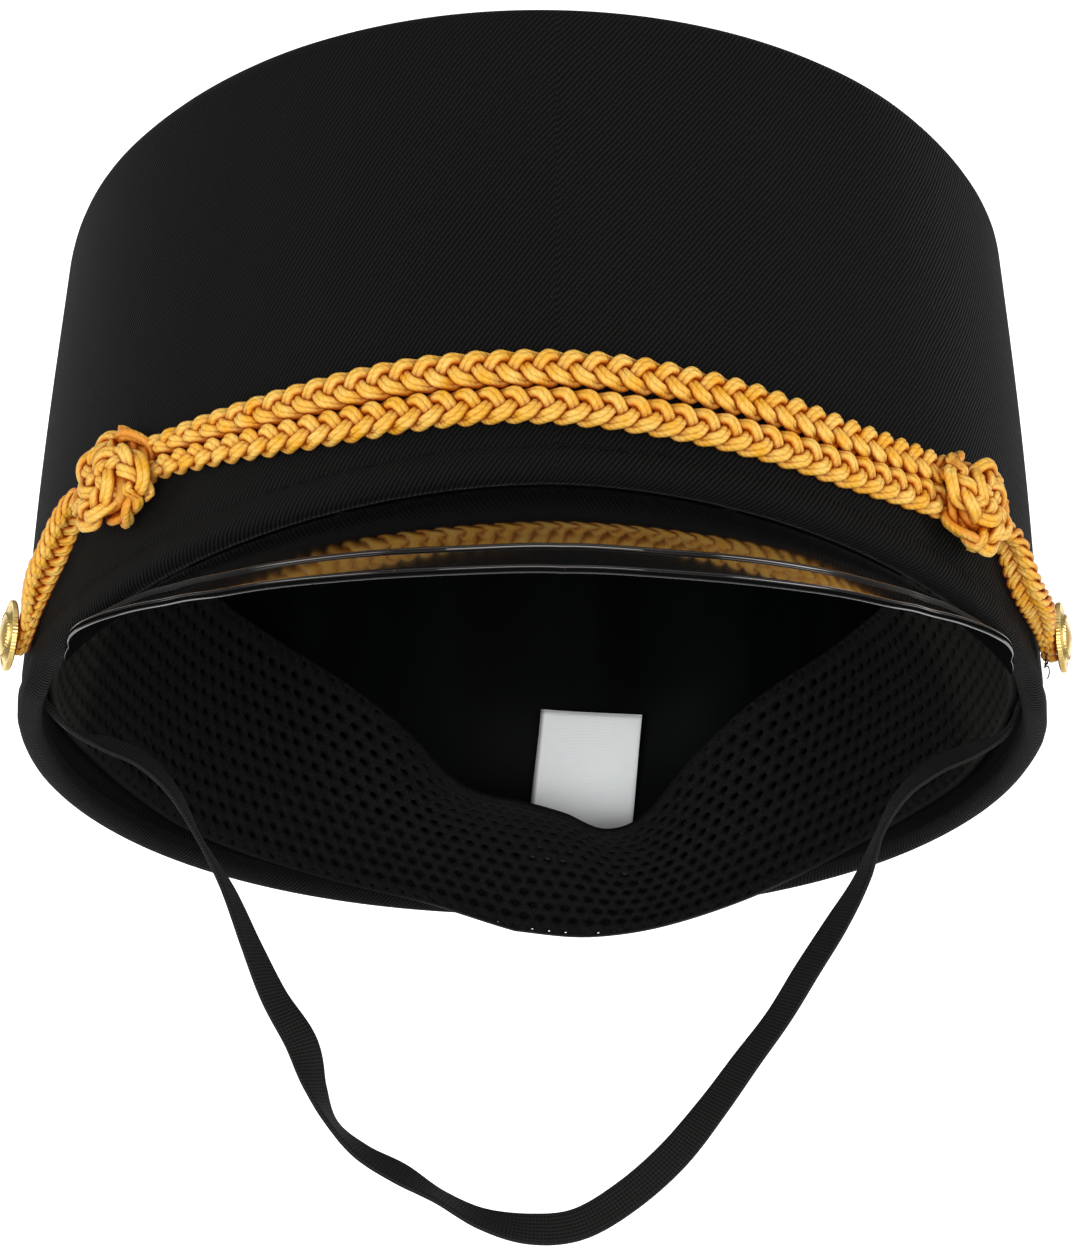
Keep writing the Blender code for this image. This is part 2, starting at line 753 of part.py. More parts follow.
def make_strap(material):
    fine = [strap_spot(k / 600) for k in range(601)]
    length = sum((b[0] - a[0]).length for a, b in zip(fine, fine[1:]))
    count = round(length / STRAP_STEP)
    rings = []
    travelled = 0.0
    for k, (centre, turn) in enumerate(fine):
        if travelled >= length * len(rings) / count or k == len(fine) - 1:
            along = (fine[min(k + 1, 600)][0] - fine[max(k - 1, 0)][0]).normalized()
            front = Vector((0.0, -1.0, 0.0))
            flat = along.cross(front)
            wide = flat * math.cos(turn) + front * math.sin(turn)
            thin = along.cross(wide)
            half = wide * (STRAP_WIDTH / 2.0)
            face = thin * (STRAP_THICKNESS / 2.0)
            rings.append([
                centre - half + face,
                centre + half + face,
                centre + half - face,
                centre - half - face,
            ])
        if k < len(fine) - 1:
            travelled += (fine[k + 1][0] - centre).length
    loft("chin_strap", rings, material)


def build_cap():
    clear_scene()
    twill = make_material("black_twill", (0.009, 0.009, 0.010), 0.80)
    cloth = make_material("dark_lining_cloth", (0.006, 0.008, 0.007), 0.70)
    net = make_material("black_net", (0.010, 0.010, 0.011), 0.85)
    satin = make_material("white_satin", (0.80, 0.80, 0.80), 0.45)
    patent = make_material("black_patent", (0.004, 0.004, 0.005), 0.10)
    gold_yarn = make_material("gold_yarn", (0.83, 0.40, 0.045), 0.55)
    gold_metal = make_material("gold_metal", (0.85, 0.60, 0.18), 0.28, 1.0)
    elastic = make_material("black_elastic", (0.010, 0.010, 0.010), 0.75)
    make_crown_side(twill)
    make_crown_top(twill)
    make_lining(cloth)
    make_sweatband(net)
    make_label(satin)
    make_peak(patent)
    make_long_braid("braid_upper", 0, gold_yarn)
    make_long_braid("braid_lower", 1, gold_yarn)
    for word, side in (("left", 1.0), ("right", -1.0)):
        make_knot("knot_" + word, side, gold_yarn)
        make_braid_end("braid_end_" + word, side, gold_yarn)
        make_button("button_" + word, side, gold_metal)
    make_strap(elastic)


build_cap()
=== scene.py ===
"""The look of a tall black twill cap with gold braid, seen from below and in front.

Every piece is made in metres in the solid model's frame: +Z is up, the front of
the cap faces -Y and the origin is the centre of the head opening. Angles run
round the opening from the front centre, positive towards the wearer's left.
"""
import math
import random

import bmesh
import bpy
import numpy as np
from mathutils import Matrix


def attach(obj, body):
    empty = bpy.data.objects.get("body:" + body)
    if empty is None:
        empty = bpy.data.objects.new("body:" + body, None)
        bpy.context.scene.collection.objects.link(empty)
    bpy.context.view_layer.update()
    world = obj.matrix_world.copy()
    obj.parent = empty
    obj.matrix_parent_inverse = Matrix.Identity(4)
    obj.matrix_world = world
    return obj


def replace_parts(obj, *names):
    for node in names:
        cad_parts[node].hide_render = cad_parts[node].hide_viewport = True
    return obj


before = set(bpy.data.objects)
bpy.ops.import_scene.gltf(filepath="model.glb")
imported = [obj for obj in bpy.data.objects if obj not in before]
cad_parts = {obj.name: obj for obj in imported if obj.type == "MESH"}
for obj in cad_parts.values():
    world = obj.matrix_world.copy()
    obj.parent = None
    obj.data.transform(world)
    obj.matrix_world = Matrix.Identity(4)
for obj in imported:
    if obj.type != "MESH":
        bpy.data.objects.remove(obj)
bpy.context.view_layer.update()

FULL_TURN = 2.0 * np.pi
UP = np.array((0.0, 0.0, 1.0))

# Camera, matched to the photograph
CAMERA_PLACE = (-0.02499, -0.70554, -0.25315)
CAMERA_YAW = 0.0362
CAMERA_PITCH = 0.3730
CAMERA_ROLL = 0.0013
CAMERA_LENS = 119.73
CAMERA_SENSOR = 36.0

# Head opening and crown, as in the solid model
RIM_HALF_WIDTH = 0.0920
RIM_FRONT = 0.1028
RIM_BACK = 0.1043
RIM_FRONT_FULLNESS = 1.83
RIM_BACK_FULLNESS = 2.04
RIM_ARCH = 0.0060
CROWN_HEIGHT = 0.0894
CROWN_TILT = 0.0062
TOP_HALF_WIDTH = 0.0864
TOP_HALF_LENGTH = 0.1039
TOP_FORWARD = 0.0012
TOP_FULLNESS = 2.02
WALL_SWELL = 0.0010
TWILL_WALL = 0.0025
TOP_EDGE_RADIUS = 0.0040
TOP_TURN_IN = 0.0052
TOP_DOME = 0.0015
HEM_THICKNESS = 0.0044
HEM_STANDOFF = 0.0006
HEM_INNER_DEPTH = HEM_THICKNESS - HEM_STANDOFF
STITCH_HEIGHT = 0.0058
STITCH_DEPTH = 0.00028
STITCH_PITCH = 0.0032
STITCH_SHARE = (0.14, 0.86)
STITCH_JITTER = 0.03
STITCH_DRIFT = 0.00012
FACING_HEIGHT = 0.0046
FACING_STEP = 0.0013
SEAM_GAP = 0.0003
WALL_COLUMNS = 480
TOP_COLUMNS = 240
CLOTH_WAVE = 0.00022
CLOTH_RIPPLE = 0.00012
TOP_WAVE = 0.00015
PUCKER_DEPTH = 0.00010
PUCKERS_ROUND = 67.0
PUCKER_HEIGHT = 0.0045
PUCKER_SPREAD = 0.0022
RAW_EDGE_BEVEL = 0.0004

# Lining, net band and size tab
LINING_THICKNESS = 0.0008
LINING_START = 0.0150
LINING_FOLDS = 15
LINING_FOLD_DEPTH = 0.0018
LINING_TOP_RIPPLE = 0.0010
TAPE_THICKNESS = 0.0002
TAPE_GAP = 0.0003
BAND_WIDTH = 0.0460
BAND_THICKNESS = 0.0015
BAND_SEAM_HEIGHT = 0.0085
BAND_SETBACK = 0.0006
NET_COLUMNS = 168
NET_ROWS = 14
NET_ROW_STEP = 6
NET_CORNERS = ((0, 4), (1, 2), (1, -2), (0, -4), (-1, -2), (-1, 2))
NET_HOLE_SHAPE = (1.14, 0.84)
NET_PLACES = (0.0170, 0.0051)
LABEL_WIDTH = 0.0210
LABEL_HEIGHT = 0.0380
LABEL_FOOT = 0.0030
LABEL_OFFSET = 0.0123
LABEL_LEAN = 0.0030
LABEL_SLANT = 6.0
LABEL_GAP = 0.00045
LABEL_WAVE = 0.00035
LABEL_CUP = 0.0005
LABEL_LEAF_THICKNESS = 0.00018
LABEL_LEAF_SHIFT = 0.0006

# Peak
PEAK_REACH = 0.0407
PEAK_THICKNESS = 0.0013
PEAK_SLOPE = 40.5
PEAK_TIP_ANGLE = 64.0
PEAK_TIP_POINT = 66.8
PEAK_CLEARANCE = 5.6
PEAK_CLEARANCE_FADE = 9.0
PEAK_FOLD_INSET = 0.0026
PEAK_FAN_LENGTH = 0.2000
PEAK_BOW = 0.00072
PEAK_TIP_ROUND = 0.07
RIDGE_HEIGHT = 0.0005
RIDGE_WIDTH = 0.0010
RIDGE_INSET = 0.0016
LIP_DROOP = 5.3
LIP_SHORTENING = 0.30

# Braid, knots and buttons
BRAID_WIDTH = 0.0058
BRAID_THICKNESS = 0.0030
BRAID_UPPER_HEIGHT = 0.0252
BRAID_SPACING = 0.0062
BRAID_OVERLAP = 3.8
PLAIT_PITCH = 0.0117
PLAIT_STEP = 0.0004
YARN_RADIUS = 0.00060
YARN_SPREAD = 0.64
YARN_SWELL = 1.27
END_YARN_RADIUS = 0.00050
END_PLAIT_PITCH = 0.0115
END_STRANDS = 5
END_FORWARD = 0.0012
KNOT_ANGLE = 49.5
KNOT_HEIGHT = 0.0204
KNOT_LENGTH = 0.0185
KNOT_WIDTH = 0.0172
KNOT_THICKNESS = 0.0085
KNOT_PLAIT_WIDTH = 0.0058
KNOT_PLAIT_THICKNESS = 0.0030
KNOT_CORE_REACH = 0.0064
KNOT_CORE_RADIUS = 0.0058
KNOT_RIGHT_STRETCH = 1.12
KNOT_DRAWN_SIZE = (0.0165, 0.0180)
KNOT_ROUNDING = (0.0085, 0.0030)
BUTTON_ANGLE = 74.6
BUTTON_HEIGHT = 0.0107
BUTTON_TILT = 0.0012
BUTTON_DIAMETER = 0.0125
BUTTON_RIM = 0.0011
BUTTON_DOME = 0.0014
BUTTON_ROPE = 0.00022
BUTTON_MILLING = 0.015
BUTTON_COLUMNS = 240

# Chin strap
STRAP_WIDTH = 0.0062
STRAP_THICKNESS = 0.0009
STRAP_STEPS = 900

# Texture places: how many units a metre, and the height at which they are measured
PLACES_PER_METRE = 10.0
PLACES_HEIGHT = 0.04

# Floor, backdrop and light
FLOOR_HALF_SIZE = 3.0
FLOOR_LEVEL = -0.95
BACKDROP_HALF_WIDTH = 2.6
BACKDROP_PLACE = 2.2
BACKDROP_FOOT = -0.93
BACKDROP_TOP = 3.2
SKY_STRENGTH = 0.22
LIGHT_TARGET = (0.0, 0.0, 0.03)

# Colours, as amounts of red, green and blue light
BLACK = (0.0002, 0.0002, 0.0002)
TWILL_RIB = (0.0102, 0.0099, 0.0094)
TWILL_FADED = (0.0058, 0.0056, 0.0053)
LINT = (0.10, 0.09, 0.08)
# Lining: the shaded and the lit colour of its painted fold shading
LINING_FOLD_SHADE = (0.0002, 0.0006, 0.0005)
LINING_FOLD_LIGHT = (0.0009, 0.0019, 0.0016)
NET_DARK = (0.0014, 0.0014, 0.0014)
NET_PALE = (0.0052, 0.0050, 0.0048)
NET_FRONT = (0.0130, 0.0132, 0.0100)
SATIN_DARK = (0.84, 0.835, 0.83)
SATIN_PALE = (0.92, 0.915, 0.91)
SATIN_EDGE = (0.16, 0.16, 0.16)
PATENT = (0.0030, 0.0031, 0.0033)
DUST = (0.10, 0.10, 0.10)
YARN_DARK = (0.80, 0.385, 0.014)
YARN_PALE = (0.88, 0.580, 0.140)
YARN_PLY = (0.52, 0.18, 0.006)
# Painted shade on the yarn's flanks and inner faces
YARN_FLANK_SHADE = (0.64, 0.18, 0.003)
# Painted shade in the yarn's crevices
YARN_CREVICE_SHADE = (0.33, 0.050, 0.001)
GILT_BRIGHT = (0.86, 0.62, 0.20)
GILT_WORN = (0.70, 0.46, 0.13)
ELASTIC_DARK = (0.0014, 0.0014, 0.0013)
ELASTIC_PALE = (0.0082, 0.0082, 0.0074)
THREAD_DARK = (0.0008, 0.0008, 0.0009)
THREAD_PALE = (0.0030, 0.0030, 0.0030)
FLOOR_DARK = (0.82, 0.82, 0.82)
FLOOR_PALE = (0.86, 0.86, 0.86)
CARD_DARK = (0.98, 0.98, 0.98)
CARD_PALE = (1.0, 1.0, 1.0)

# Lines of the band: angle, height of the sewn edge as a share of
# BAND_SEAM_HEIGHT, width as a share of BAND_WIDTH, and how many degrees it curls
# inwards beyond the lean of the wall
BAND_TABLE = (
    (-180, -0.53, 0.76, 97),
    (-172, -0.10, 0.73, 100),
    (-167, 0.10, 0.71, 85),
    (-160, 0.25, 0.78, 47),
    (-150, 0.42, 0.90, 20),
    (-140, 0.54, 0.96, 17),
    (-130, 0.66, 0.99, 18),
    (-120, 0.87, 1.00, 21),
    (-110, 1.00, 1.00, 25),
    (-100, 0.96, 1.00, 28),
    (-88, 0.94, 0.98, 27),
    (-72, 0.75, 0.96, 10),
    (-50, 0.40, 0.98, 8),
    (0, 0.35, 0.98, 8),
    (50, 0.40, 0.98, 8),
    (72, 0.75, 0.93, 12),
    (88, 0.94, 0.88, 31),
    (100, 0.85, 0.85, 37),
    (110, 0.68, 0.83, 37),
    (120, 0.62, 0.84, 27),
    (130, 0.44, 0.84, 21),
    (140, 0.12, 0.82, 27),
    (150, -0.24, 0.72, 54),
    (160, -0.56, 0.58, 82),
    (166, -0.68, 0.60, 93),
    (172, -0.70, 0.74, 100),
    (180, -0.53, 0.76, 97),
)

# Lines of the peak: share of PEAK_TIP_ANGLE, share of PEAK_REACH, share of
# the fan's own slope, and how far out of that reach the raised line lies
PEAK_TABLE = (
    (0.00, 1.000, 1.00, 0.780),
    (0.16, 0.953, 1.00, 0.785),
    (0.31, 0.830, 1.00, 0.755),
    (0.47, 0.631, 1.00, 0.730),
    (0.55, 0.526, 1.00, 0.708),
    (0.62, 0.402, 1.00, 0.680),
    (0.69, 0.291, 1.00, 0.630),
    (0.75, 0.226, 0.90, 0.560),
    (0.81, 0.174, 0.74, 0.550),
    (0.88, 0.138, 0.44, 0.580),
    (0.94, 0.112, 0.15, 0.600),
    (0.98, 0.086, 0.05, 0.600),
    (1.00, 0.055, 0.05, 0.600),
)

# How far the peak's sheet bows up between its fold and its raised line: share of
# the way, share of PEAK_BOW
BOW_TABLE = (
    (0.00, 0.00),
    (0.20, 0.33),
    (0.40, 0.67),
    (0.60, 1.00),
    (0.65, 1.00),
    (0.70, 0.92),
    (0.85, 0.46),
    (1.00, 0.00),
)

# Lines of the two braids: angle, the heights of the upper and the lower one
# above BRAID_UPPER_HEIGHT, as shares of BRAID_SPACING, and their width as a
# share of BRAID_WIDTH
BRAID_TABLE = (
    (-46, 0.06, -0.56, 0.62),
    (-39, 0.00, -0.72, 0.74),
    (-32, -0.04, -0.88, 0.88),
    (-24, 0.00, -0.96, 0.98),
    (-17, 0.08, -0.92, 1.00),
    (-10, 0.10, -0.90, 1.00),
    (-3, 0.08, -0.92, 1.00),
    (5, 0.06, -1.00, 1.00),
    (14, -0.05, -1.12, 1.00),
    (22, -0.20, -1.23, 1.00),
    (32, -0.42, -1.35, 1.00),
    (40, -0.38, -1.26, 1.00),
    (46, -0.26, -1.10, 1.00),
)

# Line of the braid from a knot down to and past its button: share of the way
# round from KNOT_ANGLE to BUTTON_ANGLE, share of the drop from the knot's height
# to the button's on the wearer's right and on the left, how far it stands out from
# the wall as a share of BRAID_WIDTH, and its height as a share of BRAID_WIDTH,
# because here the braid stands on its edge
BRAID_END_TABLE = (
    (0.24, -0.10, 0.06, 0.58, 0.66),
    (0.36, -0.12, 0.14, 0.74, 0.64),
    (0.43, 0.02, 0.50, 0.80, 0.64),
    (0.50, 0.20, 0.84, 0.82, 0.64),
    (0.57, 0.38, 1.00, 0.82, 0.64),
    (0.68, 0.58, 1.08, 0.80, 0.64),
    (0.81, 0.78, 1.12, 0.60, 0.66),
    (0.88, 0.88, 1.16, 0.48, 0.70),
    (0.94, 0.97, 1.20, 0.44, 0.72),
    (1.00, 1.05, 1.26, 0.43, 0.72),
    (1.08, 1.15, 1.34, 0.42, 0.70),
)

# Route of the chin strap: x, z, and the turn of its flat side in degrees, where
# 0 faces the front and 90 lies edge-on to it
STRAP_ROUTE = (
    (-0.0880, 0.0135, 90),
    (-0.0884, 0.0088, 90),
    (-0.0875, 0.0060, 88),
    (-0.0828, 0.0012, 76),
    (-0.0765, -0.0012, 50),
    (-0.0700, -0.0043, 52),
    (-0.0645, -0.0100, 66),
    (-0.0598, -0.0183, 80),
    (-0.0543, -0.0278, 68),
    (-0.0497, -0.0385, 54),
    (-0.0455, -0.0478, 38),
    (-0.0405, -0.0562, 20),
    (-0.0380, -0.0640, 50),
    (-0.0350, -0.0704, 69),
    (-0.0297, -0.0756, 54),
    (-0.0230, -0.0794, 44),
    (-0.0160, -0.0835, 58),
    (-0.0085, -0.0873, 44),
    (0.0000, -0.0890, 20),
    (0.0082, -0.0880, 16),
    (0.0165, -0.0830, 14),
    (0.0245, -0.0758, 16),
    (0.0315, -0.0671, 30),
    (0.0376, -0.0586, 38),
    (0.0435, -0.0505, 44),
    (0.0488, -0.0418, 44),
    (0.0540, -0.0335, 48),
    (0.0588, -0.0250, 64),
    (0.0622, -0.0165, 80),
    (0.0665, -0.0090, 66),
    (0.0725, -0.0036, 50),
    (0.0790, -0.0004, 50),
    (0.0845, 0.0024, 70),
    (0.0875, 0.0060, 88),
    (0.0884, 0.0088, 90),
    (0.0880, 0.0135, 90),
)

# Groove above the hem, and the wall beside it: metres up, metres in
GROOVE_TABLE = (
    (0.0032, -0.00062),
    (0.0042, -0.00052),
    (0.0050, -0.00020),
    (0.0055, 0.00008),
    (0.0058, 0.00018),
    (0.0061, 0.00010),
    (0.0067, -0.00008),
    (0.0078, -0.00020),
    (0.0095, -0.00012),
    (0.0125, 0.0),
)

# One stitch of the hem from end to end: how far it arches out, radius of its thread
STITCH_TABLE = (
    (-0.00030, 0.00008),
    (-0.00005, 0.00017),
    (0.00008, 0.00019),
    (0.00012, 0.00019),
    (0.00008, 0.00019),
    (-0.00005, 0.00017),
    (-0.00030, 0.00008),
)

# Rings down each hole of the net: share of the cell's size, share of BAND_THICKNESS
NET_HOLE_TABLE = (
    (0.64, 0.90),
    (0.42, 0.52),
    (0.28, 0.10),
)

# Loops of a knot: reach from its middle, how far that swings, how far the loop
# swings in and out, its turn in radians on the wearer's left and right, and how
# many turns its plait makes
KNOT_TABLE = (
    (0.0048, 0.0025, 0.0023, 0.5, 1.4, 5),
    (0.0020, 0.0018, 0.0028, 1.7, 0.2, 2),
)

# Rim of a button: share of its radius, share of BUTTON_RIM, share of the milling
BUTTON_TABLE = (
    (0.30, 0.0, 0.0),
    (0.90, 0.0, 0.0),
    (0.955, 0.08, 0.4),
    (0.985, 0.25, 1.0),
    (0.985, 0.75, 1.0),
    (0.965, 0.95, 0.8),
    (0.92, 1.00, 0.3),
    (0.88, 0.94, 0.0),
    (0.85, 0.80, 0.0),
    (0.82, 0.86, 0.0),
)

# Loose thread ends: how far each one reaches sideways, rises, and curls
THREAD_END_TABLE = (
    (-0.0040, -0.0030, 0.0012),
    (-0.0075, 0.0008, -0.0010),
    (-0.0070, -0.0012, 0.0008),
)

# Lights: name, place, width, height, power
LIGHT_TABLE = (
    ("lower_softbox", (-0.15, -1.25, -0.50), 2.2, 0.5, 20.0),
    ("overhead_panel", (0.0, -1.10, 1.50), 3.8, 1.8, 12.0),
    ("left_side_softbox", (1.40, -0.30, 0.10), 0.7, 0.7, 9.0),
    ("right_side_softbox", (-1.40, -0.30, 0.10), 0.7, 0.7, 6.0),
)


# Reading the tables, and the shape of the cap

def between_rows(table, keys):
    """Read a table at keys between its rows, with a smooth curve: one row a key."""
    rows = np.array(table, float)
    keys = np.clip(np.atleast_1d(np.asarray(keys, float)), rows[0, 0], rows[-1, 0])
    last = len(rows) - 1
    low = np.clip(np.searchsorted(rows[:, 0], keys, side="right") - 1, 0, last - 1)
    high = low + 1
    before = np.maximum(low - 1, 0)
    after = np.minimum(high + 1, last)
    span = (rows[high, 0] - rows[low, 0])[:, None]
    share = (keys[:, None] - rows[low, :1]) / span
    start, end = rows[low, 1:], rows[high, 1:]
    slope_low = (end - rows[before, 1:]) / (rows[high, :1] - rows[before, :1]) * span
    slope_high = (rows[after, 1:] - start) / (rows[after, :1] - rows[low, :1]) * span
    rise = end - start
    return (
        start
        + slope_low * share
        + (3.0 * rise - 2.0 * slope_low - slope_high) * share ** 2
        + (slope_low + slope_high - 2.0 * rise) * share ** 3
    )


def smooth_step(low, high, value):
    share = np.clip((np.asarray(value, float) - low) / (high - low), 0.0, 1.0)
    return share * share * (3.0 - 2.0 * share)


def unit(vectors):
    return vectors / np.linalg.norm(vectors, axis=-1, keepdims=True)


def turn_of(angle):
    """An angle in degrees, between -180 and 180."""
    return np.degrees(np.arctan2(np.sin(angle), np.cos(angle)))


def angles_round(count):
    return FULL_TURN * np.arange(count) / count


def oval(angle, half_width, half_length, fullness):
    across, along = np.sin(angle), np.cos(angle)
    power = 2.0 / fullness
    x = np.sign(across) * half_width * np.abs(across) ** power
    y = -np.sign(along) * half_length * np.abs(along) ** power
    return x, y


def hem_lift(angle):
    """How high the rim's lowest line runs: it arches over the peak's sewn edge."""
    arch = RIM_ARCH * np.maximum(np.cos(angle), 0.0) ** 2
    room = PEAK_THICKNESS + SEAM_GAP
    clear = PEAK_TIP_ANGLE + PEAK_CLEARANCE
    past = smooth_step(clear, clear + PEAK_CLEARANCE_FADE, np.abs(turn_of(angle)))
    return arch + room * (1.0 - past)


def rim_edge(angle):
    angle = np.asarray(angle, float)
    front_x, front_y = oval(angle, RIM_HALF_WIDTH, RIM_FRONT, RIM_FRONT_FULLNESS)
    back_x, back_y = oval(angle, RIM_HALF_WIDTH, RIM_BACK, RIM_BACK_FULLNESS)
    front = np.cos(angle) > 0.0
    x = np.where(front, front_x, back_x)
    y = np.where(front, front_y, back_y)
    return np.stack([x, y, hem_lift(angle)], axis=-1)


def top_edge(angle):
    x, y = oval(np.asarray(angle, float), TOP_HALF_WIDTH, TOP_HALF_LENGTH, TOP_FULLNESS)
    y = y - TOP_FORWARD
    z = CROWN_HEIGHT - CROWN_TILT * y / (2.0 * TOP_HALF_LENGTH)
    return np.stack([x, y, z], axis=-1)


def outward(angle):
    """Level directions out of the wall, square to the rim."""
    step = math.radians(2.0)
    along = rim_edge(angle + step) - rim_edge(angle - step)
    level = np.stack([along[..., 1], -along[..., 0], np.zeros_like(along[..., 0])], axis=-1)
    return unit(level)


def wall_height(angle):
    return top_edge(angle)[..., 2] - hem_lift(angle)


def wall_point(angle, share, level, depth):
    """Points in the wall: a share of its height, then metres up and metres in."""
    angle, share, level, depth = np.broadcast_arrays(angle, share, level, depth)
    share = share + level / wall_height(angle)
    swell = WALL_SWELL * np.sin(np.pi * np.clip(share, 0.0, 1.0))
    mixed = rim_edge(angle) * (1.0 - share)[..., None] + top_edge(angle) * share[..., None]
    return mixed + outward(angle) * (swell - depth)[..., None]


def wall_at_height(angle, height, standoff):
    return wall_point(angle, 0.0, height - hem_lift(angle), -standoff)


def seat_on_wall(degrees, height, standoff):
    """A spot on the wall, with its directions out of the wall and along it."""
    angle = np.array(math.radians(degrees))
    out = outward(angle)
    return wall_at_height(angle, height, standoff), out, np.cross(UP, out)


def wall_lean_in(angle):
    """How far the wall leans inwards from upright, in radians."""
    climb = top_edge(angle) - rim_edge(angle)
    return np.arctan2(-np.sum(climb * outward(angle), axis=-1), climb[..., 2])


def top_panel(angles, share, depth):
    """A ring of the domed top: a share of the way from its centre to its border."""
    centre = np.array((0.0, -TOP_FORWARD, CROWN_HEIGHT))
    return centre + (wall_point(angles, 1.0, 0.0, depth) - centre) * share


# Turning arrays of points into meshes

def add_piece(name, points, faces, material, uv=None, seam=None, closed=True, sharp=None):
    """Make an object from points and faces, with a texture place for each point."""
    mesh = bpy.data.meshes.new(name)
    mesh.from_pydata(np.asarray(points, float).reshape(-1, 3).tolist(), [], faces)
    if uv is not None:
        layer = mesh.uv_layers.new(name="UVMap")
        corners = np.zeros(len(mesh.loops), dtype=np.int32)
        mesh.loops.foreach_get("vertex_index", corners)
        spots = np.asarray(uv, float)[corners]
        if seam is not None:
            run_on_over_seam(mesh, spots, *seam)
        layer.data.foreach_set("uv", spots.reshape(-1))
    mesh.validate()
    if closed:
        turn_faces_outwards(mesh)
    mesh.shade_smooth()
    if sharp is not None:
        mesh.set_sharp_from_angle(angle=math.radians(sharp))
    mesh.materials.append(material)
    made = bpy.data.objects.new(name, mesh)
    bpy.context.scene.collection.objects.link(made)
    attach(made, "root")
    return made


def run_on_over_seam(mesh, spots, axis, length):
    """Let texture places run on across their seam, where they start from zero again."""
    corners_each = np.zeros(len(mesh.polygons), dtype=np.int32)
    mesh.polygons.foreach_get("loop_total", corners_each)
    owner = np.repeat(np.arange(len(corners_each)), corners_each)
    highest = np.zeros(len(corners_each))
    np.maximum.at(highest, owner, spots[:, axis])
    spots[highest[owner] - spots[:, axis] > length / 2.0, axis] += length


def turn_faces_outwards(mesh):
    edited = bmesh.new()
    edited.from_mesh(mesh)
    bmesh.ops.recalc_face_normals(edited, faces=edited.faces)
    edited.to_mesh(mesh)
    edited.free()


def thicken(piece, thickness, offset=-1.0):
    """Give a single sheet its thickness."""
    layer = piece.modifiers.new("cloth_thickness", "SOLIDIFY")
    layer.thickness = thickness
    layer.offset = offset


def grid_faces(rows, columns, close_rows=False, close_columns=False, start=0):
    """Four-sided faces between the points of a grid, closed round if asked."""
    faces = []
    for i in range(rows if close_rows else rows - 1):
        first = start + i * columns
        second = start + ((i + 1) % rows) * columns
        for j in range(columns if close_columns else columns - 1):
            after = (j + 1) % columns
            faces.append((first + j, second + j, second + after, first + after))
    return faces


def tube_faces(rows, columns):
    """Faces of a grid closed round its columns, with both of its ends filled."""
    last = (rows - 1) * columns
    ends = [tuple(reversed(range(columns))), tuple(range(last, last + columns))]
    return grid_faces(rows, columns, close_columns=True) + ends


def texture_grid(u, v):
    """Texture places for a grid of points."""
    return np.stack(np.broadcast_arrays(u, v), axis=-1).reshape(-1, 2)


def lengths_along(points):
    steps = np.linalg.norm(np.diff(points, axis=0), axis=-1)
    return np.concatenate([[0.0], np.cumsum(steps)])


def places_round(angles):
    """Texture places round the cap, with one more for where it closes."""
    line = wall_at_height(np.append(angles, FULL_TURN), PLACES_HEIGHT, 0.0)
    return lengths_along(line) * PLACES_PER_METRE


class Strands:
    """Gathers many thin round strands into one mesh."""

    def __init__(self):
        self.points = []
        self.faces = []
        self.uv = []
        self.count = 0

    def add(self, centres, radii, sides=8, out=UP, flatten=1.0, seed=0.0):
        """Add a strand along its centres, closed by a point at each end."""
        number = len(centres)
        radii = np.broadcast_to(radii, number)[:, None, None]
        along = unit(np.gradient(centres, axis=0))
        side = unit(np.cross(along, out + along * 1e-6))
        rise = np.cross(side, along)
        turn = angles_round(sides)[None, :, None]
        ring = (side[:, None] * np.cos(turn) + rise[:, None] * np.sin(turn) * flatten) * radii
        self.points += [(centres[:, None] + ring).reshape(-1, 3), centres[[0, -1]]]
        u = lengths_along(centres) * PLACES_PER_METRE + seed
        self.uv.append(texture_grid(u[:, None], np.arange(sides) / sides))
        self.uv.append(texture_grid(u[[0, -1]], 0.5))
        self.faces += grid_faces(number, sides, close_columns=True, start=self.count)
        tip = self.count + number * sides
        end = tip - sides
        for j in range(sides):
            after = (j + 1) % sides
            self.faces.append((self.count + j, self.count + after, tip))
            self.faces.append((end + after, end + j, tip + 1))
        self.count += number * sides + 2

    def finish(self, name, material, slot):
        points, uv = np.concatenate(self.points), np.concatenate(self.uv)
        return add_piece(name, points, self.faces, material, uv, seam=(1, 1.0))


# Materials

